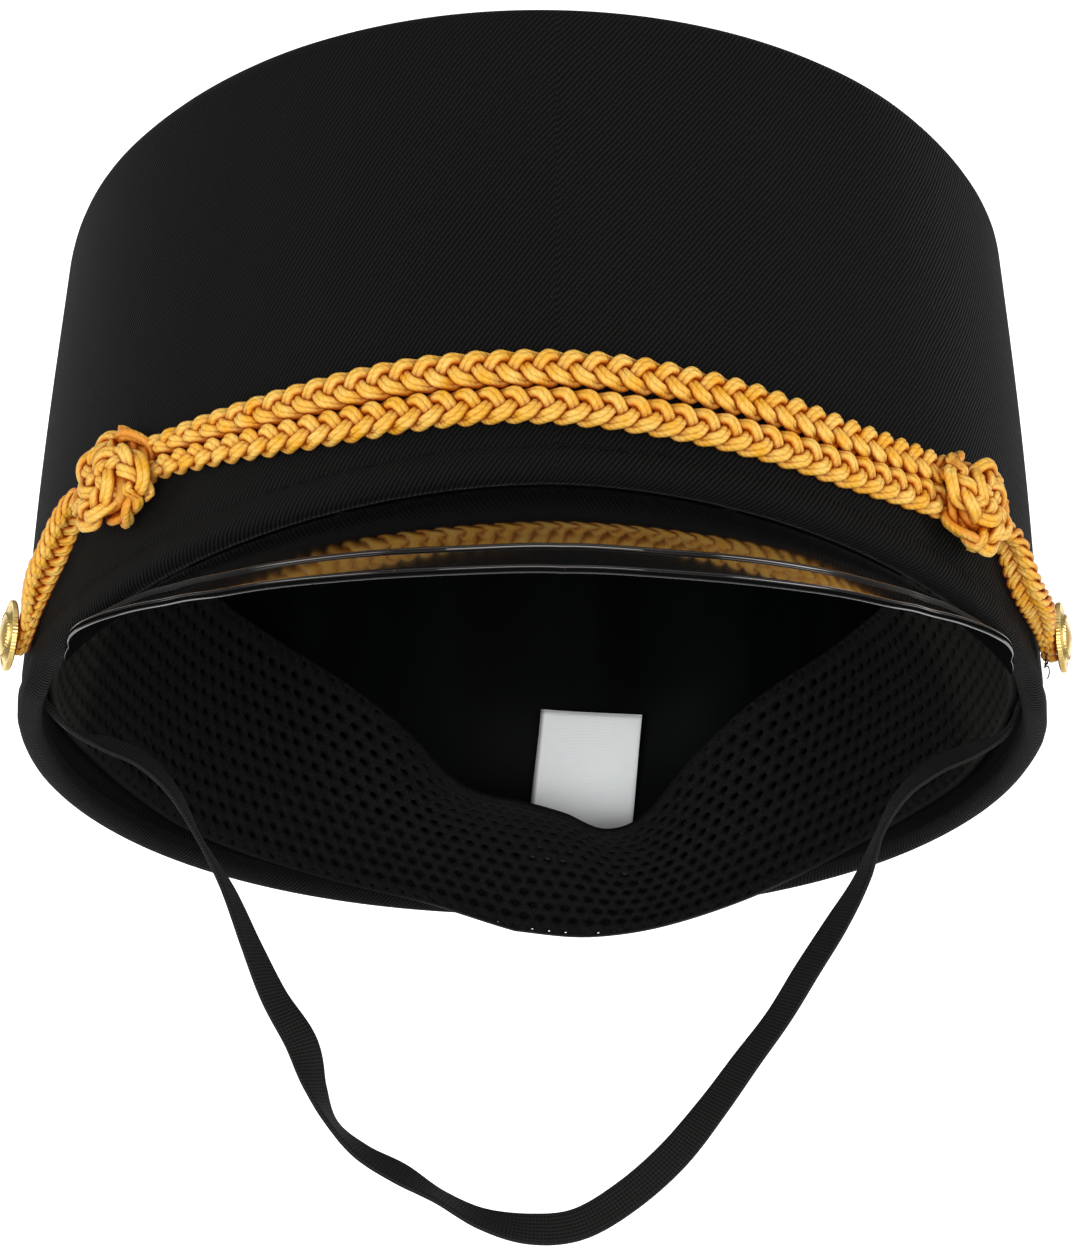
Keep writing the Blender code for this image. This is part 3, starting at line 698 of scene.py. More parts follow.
class Wire:
    """One value in a node tree. Sums and products of wires add the nodes for them."""

    def __init__(self, tree, socket):
        self.tree = tree
        self.socket = socket

    def calc(self, operation, *others):
        node = put(self.tree, "ShaderNodeMath", enumerate((self, *others)), operation=operation)
        return Wire(self.tree, node.outputs[0])

    def __add__(self, other):
        return self.calc("ADD", other)

    def __sub__(self, other):
        return self.calc("SUBTRACT", other)

    def __mul__(self, other):
        return self.calc("MULTIPLY", other)

    def wave(self):
        """A sine that turns once for each whole number."""
        return (self * FULL_TURN).calc("SINE")

    def split(self):
        node = put(self.tree, "ShaderNodeSeparateXYZ", {0: self})
        return [Wire(self.tree, output) for output in node.outputs]

    def remap(self, low, high, new_low=0.0, new_high=1.0):
        limits = {"From Min": low, "From Max": high, "To Min": new_low, "To Max": new_high}
        node = put(self.tree, "ShaderNodeMapRange", {"Value": self, **limits})
        return Wire(self.tree, node.outputs[0])

    def blend(self, first, second):
        """A colour between two others: all first at 0, all second at 1."""
        colours = {"Factor": self, 6: first, 7: second}
        node = put(self.tree, "ShaderNodeMix", colours, data_type="RGBA")
        return Wire(self.tree, node.outputs[2])

    def noise(self, scale, detail=2.0):
        settings = {"Vector": self, "Scale": scale, "Detail": detail}
        node = put(self.tree, "ShaderNodeTexNoise", settings)
        return Wire(self.tree, node.outputs["Fac"])

    def bump(self, distance, strength, under=None):
        """A surface direction for this height, on top of another one if given."""
        settings = {"Distance": distance, "Strength": strength, "Height": self}
        if under is not None:
            settings["Normal"] = under
        node = put(self.tree, "ShaderNodeBump", settings)
        return Wire(self.tree, node.outputs["Normal"])


def put(tree, kind, inputs=(), **settings):
    """Add a node with its settings, and feed its inputs."""
    node = tree.nodes.new(kind)
    for key, value in settings.items():
        setattr(node, key, value)
    for key, value in dict(inputs).items():
        feed(tree, node.inputs[key], value)
    return node


def feed(tree, socket, value):
    """Join a socket to a wire, or set it to a plain value or colour."""
    if isinstance(value, Wire):
        tree.links.new(value.socket, socket)
    elif socket.type == "RGBA":
        socket.default_value = (*value, 1.0)
    else:
        socket.default_value = value


def new_material(name):
    """A new material, with its texture places and its places in the cap."""
    material = bpy.data.materials.new(name)
    material.use_nodes = True
    tree = material.node_tree
    found = put(tree, "ShaderNodeTexCoord").outputs
    return material, Wire(tree, found["UV"]), Wire(tree, found["Object"])


def finish(material, **values):
    """Set or join the sockets of a material's shader, with _ for a space."""
    tree = material.node_tree
    shader = tree.nodes["Principled BSDF"]
    for name, value in values.items():
        feed(tree, shader.inputs[name.replace("_", " ")], value)
    return material


def openness(place, distance):
    """How open the air round a spot is: 1 on a bare face and less in a hollow."""
    node = put(place.tree, "ShaderNodeAmbientOcclusion", {"Distance": distance}, samples=4)
    return Wire(place.tree, node.outputs["AO"])


def make_weave_group():
    """Slanting ribs of a twill, each broken into short floats of yarn."""
    group = bpy.data.node_groups.new("twill_ribs", "ShaderNodeTree")
    group.interface.new_socket(name="Place", in_out="INPUT", socket_type="NodeSocketVector")
    for name, value in (("Ribs", 140.0), ("Slant", 0.90)):
        socket = group.interface.new_socket(name=name, in_out="INPUT", socket_type="NodeSocketFloat")
        socket.default_value = value
    for name in ("Height", "Wear"):
        group.interface.new_socket(name=name, in_out="OUTPUT", socket_type="NodeSocketFloat")
    given = put(group, "NodeGroupInput").outputs
    place, ribs, slant = (Wire(group, given[name]) for name in ("Place", "Ribs", "Slant"))
    x, y, _ = place.split()
    sine, cosine = slant.calc("SINE"), slant.calc("COSINE")
    wander = place.noise(scale=6.0, detail=1.0) * 0.012
    phase = (x * sine - y * cosine + wander) * ribs
    along = (x * cosine + y * sine) * ribs
    rib = phase.wave().remap(-1.0, 1.0).calc("POWER", 1.3)
    stagger = phase.calc("FLOOR") * 0.37
    floats = ((along + stagger) * 5.6).calc("SINE").remap(-1.0, 1.0, 0.70, 1.0)
    wear = place.noise(scale=1.6, detail=4.0)
    put(group, "NodeGroupOutput", {"Height": rib * floats, "Wear": wear})
    return group


def woven(weave, uv, ribs, slant):
    """The height and the wear of a weave at a material's texture places."""
    inputs = {"Place": uv, "Ribs": ribs, "Slant": slant}
    node = put(uv.tree, "ShaderNodeGroup", inputs, node_tree=weave)
    return [Wire(uv.tree, output) for output in node.outputs]


def make_twill(weave):
    material, uv, place = new_material("black_twill")
    height, wear = woven(weave, uv, ribs=140.0, slant=0.92)
    cloth = height.blend(BLACK, TWILL_RIB)
    cloth = wear.remap(0.35, 0.70, 0.0, 0.25).blend(cloth, TWILL_FADED)
    specks = put(uv.tree, "ShaderNodeTexVoronoi", {"Vector": uv, "Scale": 14.0})
    lint = Wire(uv.tree, specks.outputs["Distance"]).calc("LESS_THAN", 0.012) * 0.5
    fuzz = place.noise(scale=2600.0).bump(0.00006, 0.5)
    return finish(
        material,
        Base_Color=lint.blend(cloth, LINT),
        Roughness=height.remap(0.0, 1.0, 0.85, 0.62),
        Specular_IOR_Level=0.09,
        Sheen_Weight=0.006,
        Sheen_Roughness=0.45,
        Normal=height.bump(0.00036, 1.0, fuzz),
    )


def make_lining_cloth(weave):
    material, uv, _ = new_material("lining_cloth")
    height, _ = woven(weave, uv, ribs=260.0, slant=1.35)
    x, y, _ = uv.split()
    # Painted fold shading: upright bands of darker and lighter colour stand in for the shade and light
    # on the lining's folds
    upright = put(uv.tree, "ShaderNodeCombineXYZ", {"X": x, "Y": y * 0.15})
    shade = Wire(uv.tree, upright.outputs[0]).noise(scale=7.0, detail=1.0)
    return finish(
        material,
        Base_Color=shade.remap(0.35, 0.65).blend(LINING_FOLD_SHADE, LINING_FOLD_LIGHT),
        Roughness=height.remap(0.0, 1.0, 0.52, 0.40),
        Specular_IOR_Level=0.11,
        Normal=height.bump(0.00004, 0.6),
    )


def make_net(weave):
    material, uv, place = new_material("black_net")
    height, _ = woven(weave, uv, ribs=230.0, slant=1.1)
    grain = place.noise(scale=1500.0, detail=3.0)
    _, towards_back, _ = place.split()
    ribs = grain.remap(0.35, 0.65).blend(NET_DARK, NET_PALE)
    ribs = towards_back.remap(0.022, 0.030, 0.60, 0.0).blend(ribs, NET_FRONT)
    # Painted shade: the net's colour goes black in its holes and hollows, where little light reaches
    hole_shade = openness(place, 0.0014).remap(0.35, 0.95, 1.0, 0.0)
    return finish(
        material,
        Base_Color=hole_shade.blend(ribs, BLACK),
        Roughness=0.8,
        Specular_IOR_Level=0.10,
        Sheen_Weight=0.01,
        Sheen_Roughness=0.4,
        Normal=height.bump(0.0001, 0.6, grain.bump(0.00012, 0.8)),
    )


def make_satin(weave):
    material, uv, _ = new_material("white_satin")
    height, _ = woven(weave, uv, ribs=330.0, slant=0.05)
    soft = uv.noise(scale=9.0, detail=3.0)
    across, _, _ = uv.split()
    # Darker along one long edge of the tape
    dark_edge_line = across.remap(0.002, 0.009, 0.75, 0.0)
    return finish(
        material,
        Base_Color=dark_edge_line.blend(soft.blend(SATIN_DARK, SATIN_PALE), SATIN_EDGE),
        Roughness=soft.remap(0.3, 0.7, 0.42, 0.58),
        Sheen_Weight=0.1,
        Subsurface_Weight=0.1,
        Subsurface_Scale=0.001,
        Normal=height.bump(0.00004, 0.5),
    )


def make_patent():
    """Glossy black sheet, matt where the second texture place says so."""
    material, uv, place = new_material("black_patent")
    specks = place.noise(scale=1800.0, detail=1.0).calc("GREATER_THAN", 0.76) * 0.35
    smear = place.noise(scale=25.0, detail=5.0).remap(0.35, 0.75, 0.06, 0.14)
    _, matt, _ = uv.split()
    return finish(
        material,
        Base_Color=specks.blend(PATENT, DUST),
        Roughness=smear.calc("MAXIMUM", matt * 0.8),
        Specular_IOR_Level=matt.calc("MULTIPLY_ADD", -0.5, 0.5),
        Specular_Tint=(1.0, 0.92, 0.86),
        IOR=1.52,
        Coat_Weight=matt.calc("MULTIPLY_ADD", -0.25, 0.25),
        Coat_Roughness=0.03,
        Normal=place.noise(scale=60.0).bump(0.0002, 0.12),
    )


def make_yarn():
    """Plied gold yarn: fine slanting plies, with painted shade on each yarn's flanks and where strands
    press together.
    """
    material, uv, place = new_material("gold_yarn")
    along, around, _ = uv.split()
    height = (along * 95.0 + around * 3.0).wave().remap(-1.0, 1.0)
    tone = place.noise(scale=320.0, detail=3.0)
    fibre = place.noise(scale=5200.0)
    colour = tone.remap(0.3, 0.7).blend(YARN_DARK, YARN_PALE)
    colour = height.remap(0.0, 1.0, 0.26, 0.0).blend(colour, YARN_PLY)
    # Painted shade: the sides and inner faces of each yarn are darker and redder than its outer face
    colour = around.wave().remap(0.75, 0.05, 0.0, 0.68).blend(colour, YARN_FLANK_SHADE)
    # Painted shade in the crevices where strands press together, with less sheen and specular there as
    # well
    crevice_shade = openness(place, 0.0016).remap(0.46, 0.95, 1.0, 0.0)
    return finish(
        material,
        Base_Color=crevice_shade.blend(colour, YARN_CREVICE_SHADE),
        Roughness=fibre.remap(0.3, 0.7, 0.36, 0.52),
        Sheen_Weight=crevice_shade.calc("MULTIPLY_ADD", -0.10, 0.10),
        Sheen_Roughness=0.35,
        Sheen_Tint=(1.0, 0.80, 0.42),
        Specular_IOR_Level=crevice_shade.calc("MULTIPLY_ADD", -0.60, 0.66),
        Specular_Tint=(1.0, 0.84, 0.50),
        Subsurface_Weight=0.12,
        Subsurface_Radius=(1.0, 0.5, 0.15),
        Subsurface_Scale=0.0006,
        Normal=height.bump(0.00007, 0.9, fibre.bump(0.00004, 0.6)),
    )


def make_gilt():
    material, _, place = new_material("gold_metal")
    wear = place.noise(scale=420.0, detail=4.0)
    return finish(
        material,
        Base_Color=wear.remap(0.4, 0.7).blend(GILT_BRIGHT, GILT_WORN),
        Roughness=wear.remap(0.3, 0.75, 0.20, 0.42),
        Metallic=1.0,
        Normal=wear.bump(0.00003, 0.4),
    )


def make_elastic():
    """Flat elastic: ribs along it, and short loops of yarn across."""
    material, uv, place = new_material("black_elastic")
    along, across, _ = uv.split()
    height = (along * 150.0).wave() * 0.5 + (across * 140.0).wave() * 0.5
    fuzz = place.noise(scale=2400.0, detail=3.0).bump(0.00008, 0.5)
    return finish(
        material,
        Base_Color=height.remap(-1.0, 1.0).blend(ELASTIC_DARK, ELASTIC_PALE),
        Roughness=0.72,
        Specular_IOR_Level=0.2,
        Sheen_Weight=0.03,
        Sheen_Roughness=0.4,
        Normal=height.bump(0.00010, 0.8, fuzz),
    )


def make_thread():
    material, _, place = new_material("black_thread")
    return finish(
        material,
        Base_Color=place.noise(scale=900.0).blend(THREAD_DARK, THREAD_PALE),
        Roughness=0.75,
        Specular_IOR_Level=0.12,
        Normal=place.noise(scale=4000.0).bump(0.00004, 0.5),
    )


def make_floor_material():
    material, _, place = new_material("pale_floor")
    colour = place.noise(scale=3.0).blend(FLOOR_DARK, FLOOR_PALE)
    return finish(material, Base_Color=colour, Roughness=0.7)


def make_backdrop_material():
    """A lit white card."""
    material, _, place = new_material("white_backdrop")
    return finish(
        material,
        Base_Color=(0.8, 0.8, 0.8),
        Roughness=0.9,
        Emission_Strength=1.0,
        Emission_Color=place.noise(scale=1.0, detail=1.0).blend(CARD_DARK, CARD_PALE),
    )


# Camera and chin strap, which come first

def put_facing(thing, place, right, over, ahead):
    """Put a camera or a lamp in its place, looking ahead."""
    placed = np.eye(4)
    placed[:3] = np.stack([right, over, -ahead, place], axis=-1)
    thing.matrix_world = Matrix(placed.tolist())
    bpy.context.scene.collection.objects.link(thing)


def make_camera():
    yaw, pitch, roll = CAMERA_YAW, CAMERA_PITCH, CAMERA_ROLL
    level = np.array((math.sin(yaw), math.cos(yaw), 0.0))
    ahead = level * math.cos(pitch) + UP * math.sin(pitch)
    side = np.array((math.cos(yaw), -math.sin(yaw), 0.0))
    over = np.cross(side, ahead)
    data = bpy.data.cameras.new("photo_camera")
    data.lens = CAMERA_LENS
    data.sensor_width = CAMERA_SENSOR
    data.clip_start = 0.01
    camera = bpy.data.objects.new("photo_camera", data)
    right = side * math.cos(roll) + over * math.sin(roll)
    top = over * math.cos(roll) - side * math.sin(roll)
    put_facing(camera, CAMERA_PLACE, right, top, ahead)
    bpy.context.scene.camera = camera


def strap_section():
    """The strap's section, as shares of half its width and half its thickness."""
    flat = np.linspace(-0.90, 0.90, 11)
    section = [(share, 1.0) for share in flat] + [(0.97, 0.75), (1.0, 0.0), (0.97, -0.75)]
    section += [(share, -1.0) for share in flat[::-1]]
    return np.array(section + [(-0.97, -0.75), (-1.0, 0.0), (-0.97, 0.75)])


def make_strap(material):
    keyed = [(k, *row) for k, row in enumerate(STRAP_ROUTE)]
    x, z, turn = between_rows(keyed, np.linspace(0, len(keyed) - 1, STRAP_STEPS)).T
    centres = np.stack([x, np.zeros(STRAP_STEPS), z], axis=-1)
    turn = np.radians(turn)[:, None]
    along = unit(np.gradient(centres, axis=0))
    front = np.array((0.0, -1.0, 0.0))
    wide = np.cross(along, front) * np.cos(turn) + front * np.sin(turn)
    thin = np.cross(along, wide)
    across, through = (strap_section() * (STRAP_WIDTH / 2.0, STRAP_THICKNESS / 2.0)).T
    points = centres[:, None] + wide[:, None] * across[:, None] + thin[:, None] * through[:, None]
    travelled = lengths_along(centres)
    uv = texture_grid(travelled[:, None], across) * PLACES_PER_METRE
    faces = tube_faces(STRAP_STEPS, len(across))
    strap = add_piece("elastic_chin_strap", points, faces, material, uv)
    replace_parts(strap, "chin_strap")


# Crown

def side_profile():
    """The wall's section: share of the height, metres up, metres in."""
    radius = HEM_THICKNESS / 2.0
    centre = radius - HEM_STANDOFF
    inner_radius = TOP_EDGE_RADIUS - TWILL_WALL
    rows = []
    for turn in np.linspace(0.0, np.pi, 15):
        rows.append((0.0, radius * (1.0 - math.sin(turn)), centre + radius * math.cos(turn)))
    rows += [(0.0, up, depth) for up, depth in GROOVE_TABLE]
    rows += [(share, 0.0, 0.0) for share in np.linspace(0.20, 0.94, 20)]
    for turn in np.linspace(0.0, np.pi / 2.0, 9):
        up, depth = math.sin(turn) - 1.0, 1.0 - math.cos(turn)
        rows.append((1.0, TOP_EDGE_RADIUS * up, TOP_EDGE_RADIUS * depth))
    rows.append((1.0, 0.0, TOP_TURN_IN - RAW_EDGE_BEVEL))
    rows.append((1.0, -0.0005, TOP_TURN_IN))
    rows.append((1.0, -TWILL_WALL, TOP_TURN_IN))
    for turn in np.linspace(np.pi / 2.0, 0.0, 4):
        up, depth = inner_radius * math.sin(turn), inner_radius * math.cos(turn)
        rows.append((1.0, up - TOP_EDGE_RADIUS, TOP_EDGE_RADIUS - depth))
    rows.append((0.55, 0.0, TWILL_WALL))
    rows.append((0.20, 0.0, TWILL_WALL))
    rows.append((0.0, FACING_HEIGHT + FACING_STEP, TWILL_WALL))
    rows.append((0.0, FACING_HEIGHT, HEM_INNER_DEPTH - RAW_EDGE_BEVEL))
    rows.append((0.0, FACING_HEIGHT * 0.85, HEM_INNER_DEPTH))
    return np.array(rows)


def make_crown(twill):
    angles = angles_round(WALL_COLUMNS)
    turn = angles[:, None]
    share, level, depth = side_profile().T
    height = share + level / (CROWN_HEIGHT - HEM_THICKNESS)
    soft = CLOTH_WAVE * np.sin(3.0 * turn + 2.0) * np.sin(5.0 * height + 1.0)
    soft += CLOTH_RIPPLE * np.sin(11.0 * turn + 4.0 * height)
    puckers = np.exp(-((level - PUCKER_HEIGHT) / PUCKER_SPREAD) ** 2) * (share < 0.01)
    soft += PUCKER_DEPTH * np.sin(PUCKERS_ROUND * turn) * puckers
    # Only the outer face is uneven, not the hem's lower round or the inner face
    order = np.arange(len(share))
    outside = (order > 10) & (order < 50)
    points = wall_point(turn, share, level, depth + soft * outside)
    around = places_round(angles)
    down = lengths_along(wall_point(0.0, share, level, depth)) * PLACES_PER_METRE
    uv = texture_grid(around[:-1, None], down)
    faces = grid_faces(len(angles), len(share), close_rows=True, close_columns=True)
    seam = (0, around[-1])
    wall = add_piece("twill_crown_wall", points, faces, twill, uv, seam=seam)
    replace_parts(wall, "crown_side")


def make_hem_stitches(material):
    """Short stitches sunk in the groove above the hem, right round the cap."""
    angles = np.linspace(0.0, FULL_TURN, 2001)
    travelled = lengths_along(wall_point(angles, 0.0, STITCH_HEIGHT, STITCH_DEPTH))
    number = int(round(travelled[-1] / STITCH_PITCH))
    arch, radii = np.array(STITCH_TABLE).T
    random.seed(7)
    row = Strands()
    for k in range(number):
        start, end = (
            (k + share + random.uniform(-STITCH_JITTER, STITCH_JITTER)) * travelled[-1] / number
            for share in STITCH_SHARE
        )
        at = np.interp(np.linspace(start, end, len(arch)), travelled, angles)
        drift = random.uniform(-STITCH_DRIFT, STITCH_DRIFT)
        centres = wall_point(at, 0.0, STITCH_HEIGHT + drift, STITCH_DEPTH - arch)
        row.add(centres, radii, sides=6)
    row.finish("hem_stitches", material, "black_twill")


def make_crown_top(twill):
    angles = angles_round(TOP_COLUMNS)
    rings = []
    steps = [(share, 0.0) for share in np.linspace(0.004, 0.985, 30)]
    steps += [(0.996, -0.00008), (1.0, -0.0006), (1.0, -TWILL_WALL)]
    steps += [(share, -TWILL_WALL) for share in (0.7, 0.4, 0.04)]
    for share, drop in steps:
        ring = top_panel(angles, share, TOP_TURN_IN + SEAM_GAP)
        ring[:, 2] += TOP_DOME * (1.0 - share * share) + drop
        ring[:, 2] += TOP_WAVE * np.sin(2.0 * angles + 5.0 * share) * (1.0 - share)
        rings.append(ring)
    points = np.array(rings)
    uv = points.reshape(-1, 3)[:, :2] * PLACES_PER_METRE
    faces = tube_faces(len(rings), TOP_COLUMNS)
    top = add_piece("twill_crown_top", points, faces, twill, uv)
    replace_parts(top, "crown_top")


# Inside of the cap

def lining_fold(angle, share):
    uneven = 1.0 + 0.35 * np.sin(3.0 * angle + 1.0)
    wave = 0.5 - 0.5 * np.cos(LINING_FOLDS * angle + 0.8 * np.sin(2.0 * angle))
    fade = smooth_step(0.30, 0.55, share) * (1.0 - smooth_step(0.86, 1.0, share))
    return LINING_FOLD_DEPTH * wave ** 0.7 * uneven * fade


def make_lining(material):
    angles = angles_round(WALL_COLUMNS)
    corner = TOP_EDGE_RADIUS + 2.0 * SEAM_GAP
    inside = TWILL_WALL + 2.0 * SEAM_GAP + LINING_THICKNESS
    steps = [(0.0, LINING_START)]
    steps += [(share, 0.0) for share in np.linspace(0.22, 0.90, 28)]
    steps += [(1.0, -corner - 0.002), (1.0, -corner)]
    rings = []
    for share, level in steps:
        depth = inside + lining_fold(angles, share + level / wall_height(angles))
        rings.append(wall_point(angles, share, level, depth))
    corner += LINING_THICKNESS
    panel = [(1.0, corner + 0.0010, inside - 0.0002)]
    panel += [(share, corner, inside + 0.0006) for share in (0.97, 0.90, 0.75, 0.55, 0.35, 0.15, 0.02)]
    ripple = LINING_TOP_RIPPLE * (0.5 + 0.5 * np.cos(LINING_FOLDS * angles))
    for share, depth, down in panel:
        ring = top_panel(angles, share, depth)
        ring[:, 2] += TOP_DOME * (1.0 - share * share) * 0.8 - down
        ring[:, 2] += ripple * share ** 2 * (share < 1.0)
        rings.append(ring)
    points = np.array(rings)
    around = places_round(angles)
    up = lengths_along(points[:, 0]) * PLACES_PER_METRE
    uv = texture_grid(around[:-1], up[:, None])
    faces = grid_faces(len(rings), WALL_COLUMNS, close_columns=True)
    last = (len(rings) - 1) * WALL_COLUMNS
    faces.append(tuple(reversed(range(last, last + WALL_COLUMNS))))
    cup = add_piece(
        "lining_cup", points, faces, material, uv, seam=(0, around[-1]), closed=False
    )
    thicken(cup, LINING_THICKNESS, offset=1.0)
    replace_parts(cup, "lining")


def band_point(angle, share, depth):
    """Points of the net band: share of the way from its seam to its free edge."""
    height, width, curl = between_rows(BAND_TABLE, turn_of(angle)).T
    curl = np.radians(curl)
    start = wall_lean_in(angle)
    lean = start + curl * share
    radius = BAND_WIDTH * width / curl
    level = radius * (np.cos(start) - np.cos(lean)) + depth * np.cos(lean)
    rise = radius * (np.sin(lean) - np.sin(start)) - depth * np.sin(lean)
    seam = wall_point(angle, 0.0, BAND_SEAM_HEIGHT * height, HEM_INNER_DEPTH + BAND_SETBACK)
    return seam - outward(angle) * level[:, None] + UP * rise[:, None]


def net_cells():
    """Six-sided cells of the net: their middles, their corners' numbers, and every corner."""
    numbers = {}
    middles = []
    cells = []
    for row in range(NET_ROWS):
        for column in range(NET_COLUMNS):
            x, y = 2 * column + row % 2, NET_ROW_STEP * row
            ring = [((x + right) % (2 * NET_COLUMNS), y + over) for right, over in NET_CORNERS]
            middles.append((x, y))
            cells.append([numbers.setdefault(spot, len(numbers)) for spot in ring])
    return np.array(middles, float), cells, numbers


def net_faces(cells, numbers, last):
    """Faces of each cell's front, throat and back, and of the net's two long edges."""
    faces = []
    back = len(numbers)
    for k, ring in enumerate(cells):
        throat = [[2 * back + 6 * (n * len(cells) + k) + j for j in range(6)] for n in range(3)]
        steps = [ring, *throat, [back + corner for corner in ring]]
        for near, far in zip(steps, steps[1:]):
            for j in range(6):
                after = (j + 1) % 6
                faces.append((near[j], near[after], far[after], far[j]))
    lower = sorted(spot for spot in numbers if spot[1] <= -2)
    upper = sorted(spot for spot in numbers if spot[1] >= last + 2)
    for line in (lower, upper[::-1]):
        for spot, following in zip(line, line[1:] + line[:1]):
            here, there = numbers[spot], numbers[following]
            faces.append((here, there, back + there, back + here))
    return faces


def make_net_band(material):
    middles, cells, numbers = net_cells()
    last = NET_ROW_STEP * (NET_ROWS - 1)
    random.seed(11)
    sizes = np.array([random.uniform(0.92, 1.08) for _ in cells])
    edges = (middles[:, 1] < 1.0) | (middles[:, 1] > last - 1.0)
    sizes[edges] *= np.array([random.uniform(0.12, 0.50) for _ in range(int(edges.sum()))])
    layers = [(np.array(list(numbers), float), depth) for depth in (1.0, 0.0)]
    for size, depth in NET_HOLE_TABLE:
        hole = np.array(NET_CORNERS) * NET_HOLE_SHAPE * (size * sizes)[:, None, None]
        layers.append(((middles[:, None] + hole).reshape(-1, 2), depth))
    points = []
    for spots, depth in layers:
        angle = np.pi * spots[:, 0] / NET_COLUMNS - np.pi
        share = np.clip((spots[:, 1] + 2.0) / (last + 4.0), 0.0, 1.0)
        points.append(band_point(angle, share, BAND_THICKNESS * depth))
    uv = np.concatenate([spots for spots, _ in layers]) * NET_PLACES
    band = add_piece(
        "net_sweatband", np.concatenate(points), net_faces(cells, numbers, last),
        material, uv, seam=(0, 2 * NET_COLUMNS * NET_PLACES[0]),
    )
    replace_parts(band, "sweatband")


def make_backing_tape(material):
    """A strip of twill behind the sewn edge of the net."""
    angles = angles_round(WALL_COLUMNS)
    shares = np.linspace(0.055, 0.40, 14)
    points = np.array([band_point(angles, share, -TAPE_GAP) for share in shares])
    uv = texture_grid(angles, shares[:, None] * BAND_WIDTH * PLACES_PER_METRE)
    faces = grid_faces(len(shares), WALL_COLUMNS, close_columns=True)
    tape = add_piece("band_backing_tape", points, faces, material, uv, closed=False)
    thicken(tape, TAPE_THICKNESS)


def make_label(material):
    """A folded satin tape, bare, with its foot inside the facing."""
    angle = np.array(math.pi - math.asin(LABEL_OFFSET / RIM_HALF_WIDTH))
    inward = -outward(angle)
    across = np.cross(UP, inward)
    slant = math.radians(LABEL_SLANT)
    along = UP * math.cos(slant) + across * math.sin(slant)
    beside = across * math.cos(slant) - UP * math.sin(slant)
    middle = wall_point(angle, 0.0, LABEL_FOOT, HEM_INNER_DEPTH + 2.0 * SEAM_GAP)
    bow = LABEL_WIDTH ** 2 / (8.0 * RIM_HALF_WIDTH ** 2 / RIM_BACK)
    columns, rows = 21, 30
    up = np.linspace(0.0, 1.0, rows)
    share = np.concatenate([up, up[::-1]])[:, None]
    leaf = np.repeat((1.0, -1.0), rows)[:, None]
    side = np.linspace(-1.0, 1.0, columns)
    gap = LABEL_GAP * (1.0 + (1.0 - share ** 6) * leaf)
    wave = LABEL_WAVE * np.sin(2.2 * share * math.pi + 1.5 * side) + LABEL_CUP * side * side * share
    reach = bow + gap + LABEL_LEAN * share ** 1.5 + wave
    drift = -LABEL_LEAF_SHIFT * (1.0 - share) * (leaf < 0.0)
    sideways = side * LABEL_WIDTH / 2.0 + drift
    points = (
        middle
        + inward * reach[..., None]
        + along * (LABEL_HEIGHT * share)[..., None]
        + beside * sideways[..., None]
    )
    u = np.linspace(0.0, LABEL_WIDTH, columns)
    uv = texture_grid(u, lengths_along(points[:, 0])[:, None]) * PLACES_PER_METRE
    faces = grid_faces(len(share), columns)
    tape = add_piece("bare_size_label", points, faces, material, uv, closed=False)
    thicken(tape, LABEL_LEAF_THICKNESS)
    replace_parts(tape, "size_label")


# Peak

def peak_fold(angle):
    point = rim_edge(angle) - outward(angle) * PEAK_FOLD_INSET
    point[..., 2] -= SEAM_GAP
    return point


def peak_sheet(angle):
    """For each angle: the root, the level way out, the dip, the reach and the ridge."""
    reach, steepness, ridge = between_rows(PEAK_TABLE, np.abs(np.degrees(angle)) / PEAK_TIP_ANGLE).T
    slope = math.radians(PEAK_SLOPE)
    back_up = np.array((0.0, math.cos(slope), math.sin(slope)))
    apex = peak_fold(np.zeros(1))[0] + back_up * PEAK_FAN_LENGTH
    root = peak_fold(angle)
    line = unit(root - apex)
    level = unit(line * (1.0, 1.0, 0.0))
    return root, level, np.arcsin(-line[:, 2]) * steepness, PEAK_REACH * reach, ridge


def peak_section(ridge, reach, tips):
    """The peak's section, spot by spot: metres out, metres above, and how matt."""
    flat = np.zeros_like(ridge)
    matt = np.ones_like(ridge)
    lip = reach - ridge
    corner = np.minimum(PEAK_THICKNESS * 0.22, lip * 0.2)
    bead = np.minimum(RIDGE_WIDTH / 2.0, ridge * 0.03 + 0.00002)
    height = RIDGE_HEIGHT * smooth_step(PEAK_FOLD_INSET * 0.85, PEAK_FOLD_INSET * 1.15, ridge)
    spots = [(ridge * share, flat, tips) for share in np.linspace(0.0, 0.97, 18)]
    for turn in np.linspace(0.0, np.pi, 11):
        arch = max(math.sin(turn), 0.0) ** 0.55
        spots.append((ridge - bead * math.cos(turn), height * arch, flat))
    spots.append((ridge + bead + np.minimum(0.0002, lip * 0.06), flat, tips))
    spots += [(ridge + lip * share, flat, tips) for share in np.linspace(0.20, 0.88, 11)]
    for turn in np.linspace(np.pi / 2.0, 0.0, 6):
        spots.append((reach - corner * (1.0 - math.cos(turn)), corner * (math.sin(turn) - 1.0), flat))
    for share in (0.12, 0.88):
        spots.append((reach, -corner - (PEAK_THICKNESS - 2.0 * corner) * share, matt))
    for turn in np.linspace(0.0, -np.pi / 2.0, 6):
        low = corner * (1.0 + math.sin(turn)) - PEAK_THICKNESS
        spots.append((reach - corner * (1.0 - math.cos(turn)), low, flat))
    spots += [(reach * share, flat - PEAK_THICKNESS, matt) for share in np.linspace(0.93, 0.0, 24)]
    return np.array(spots).transpose(1, 2, 0)


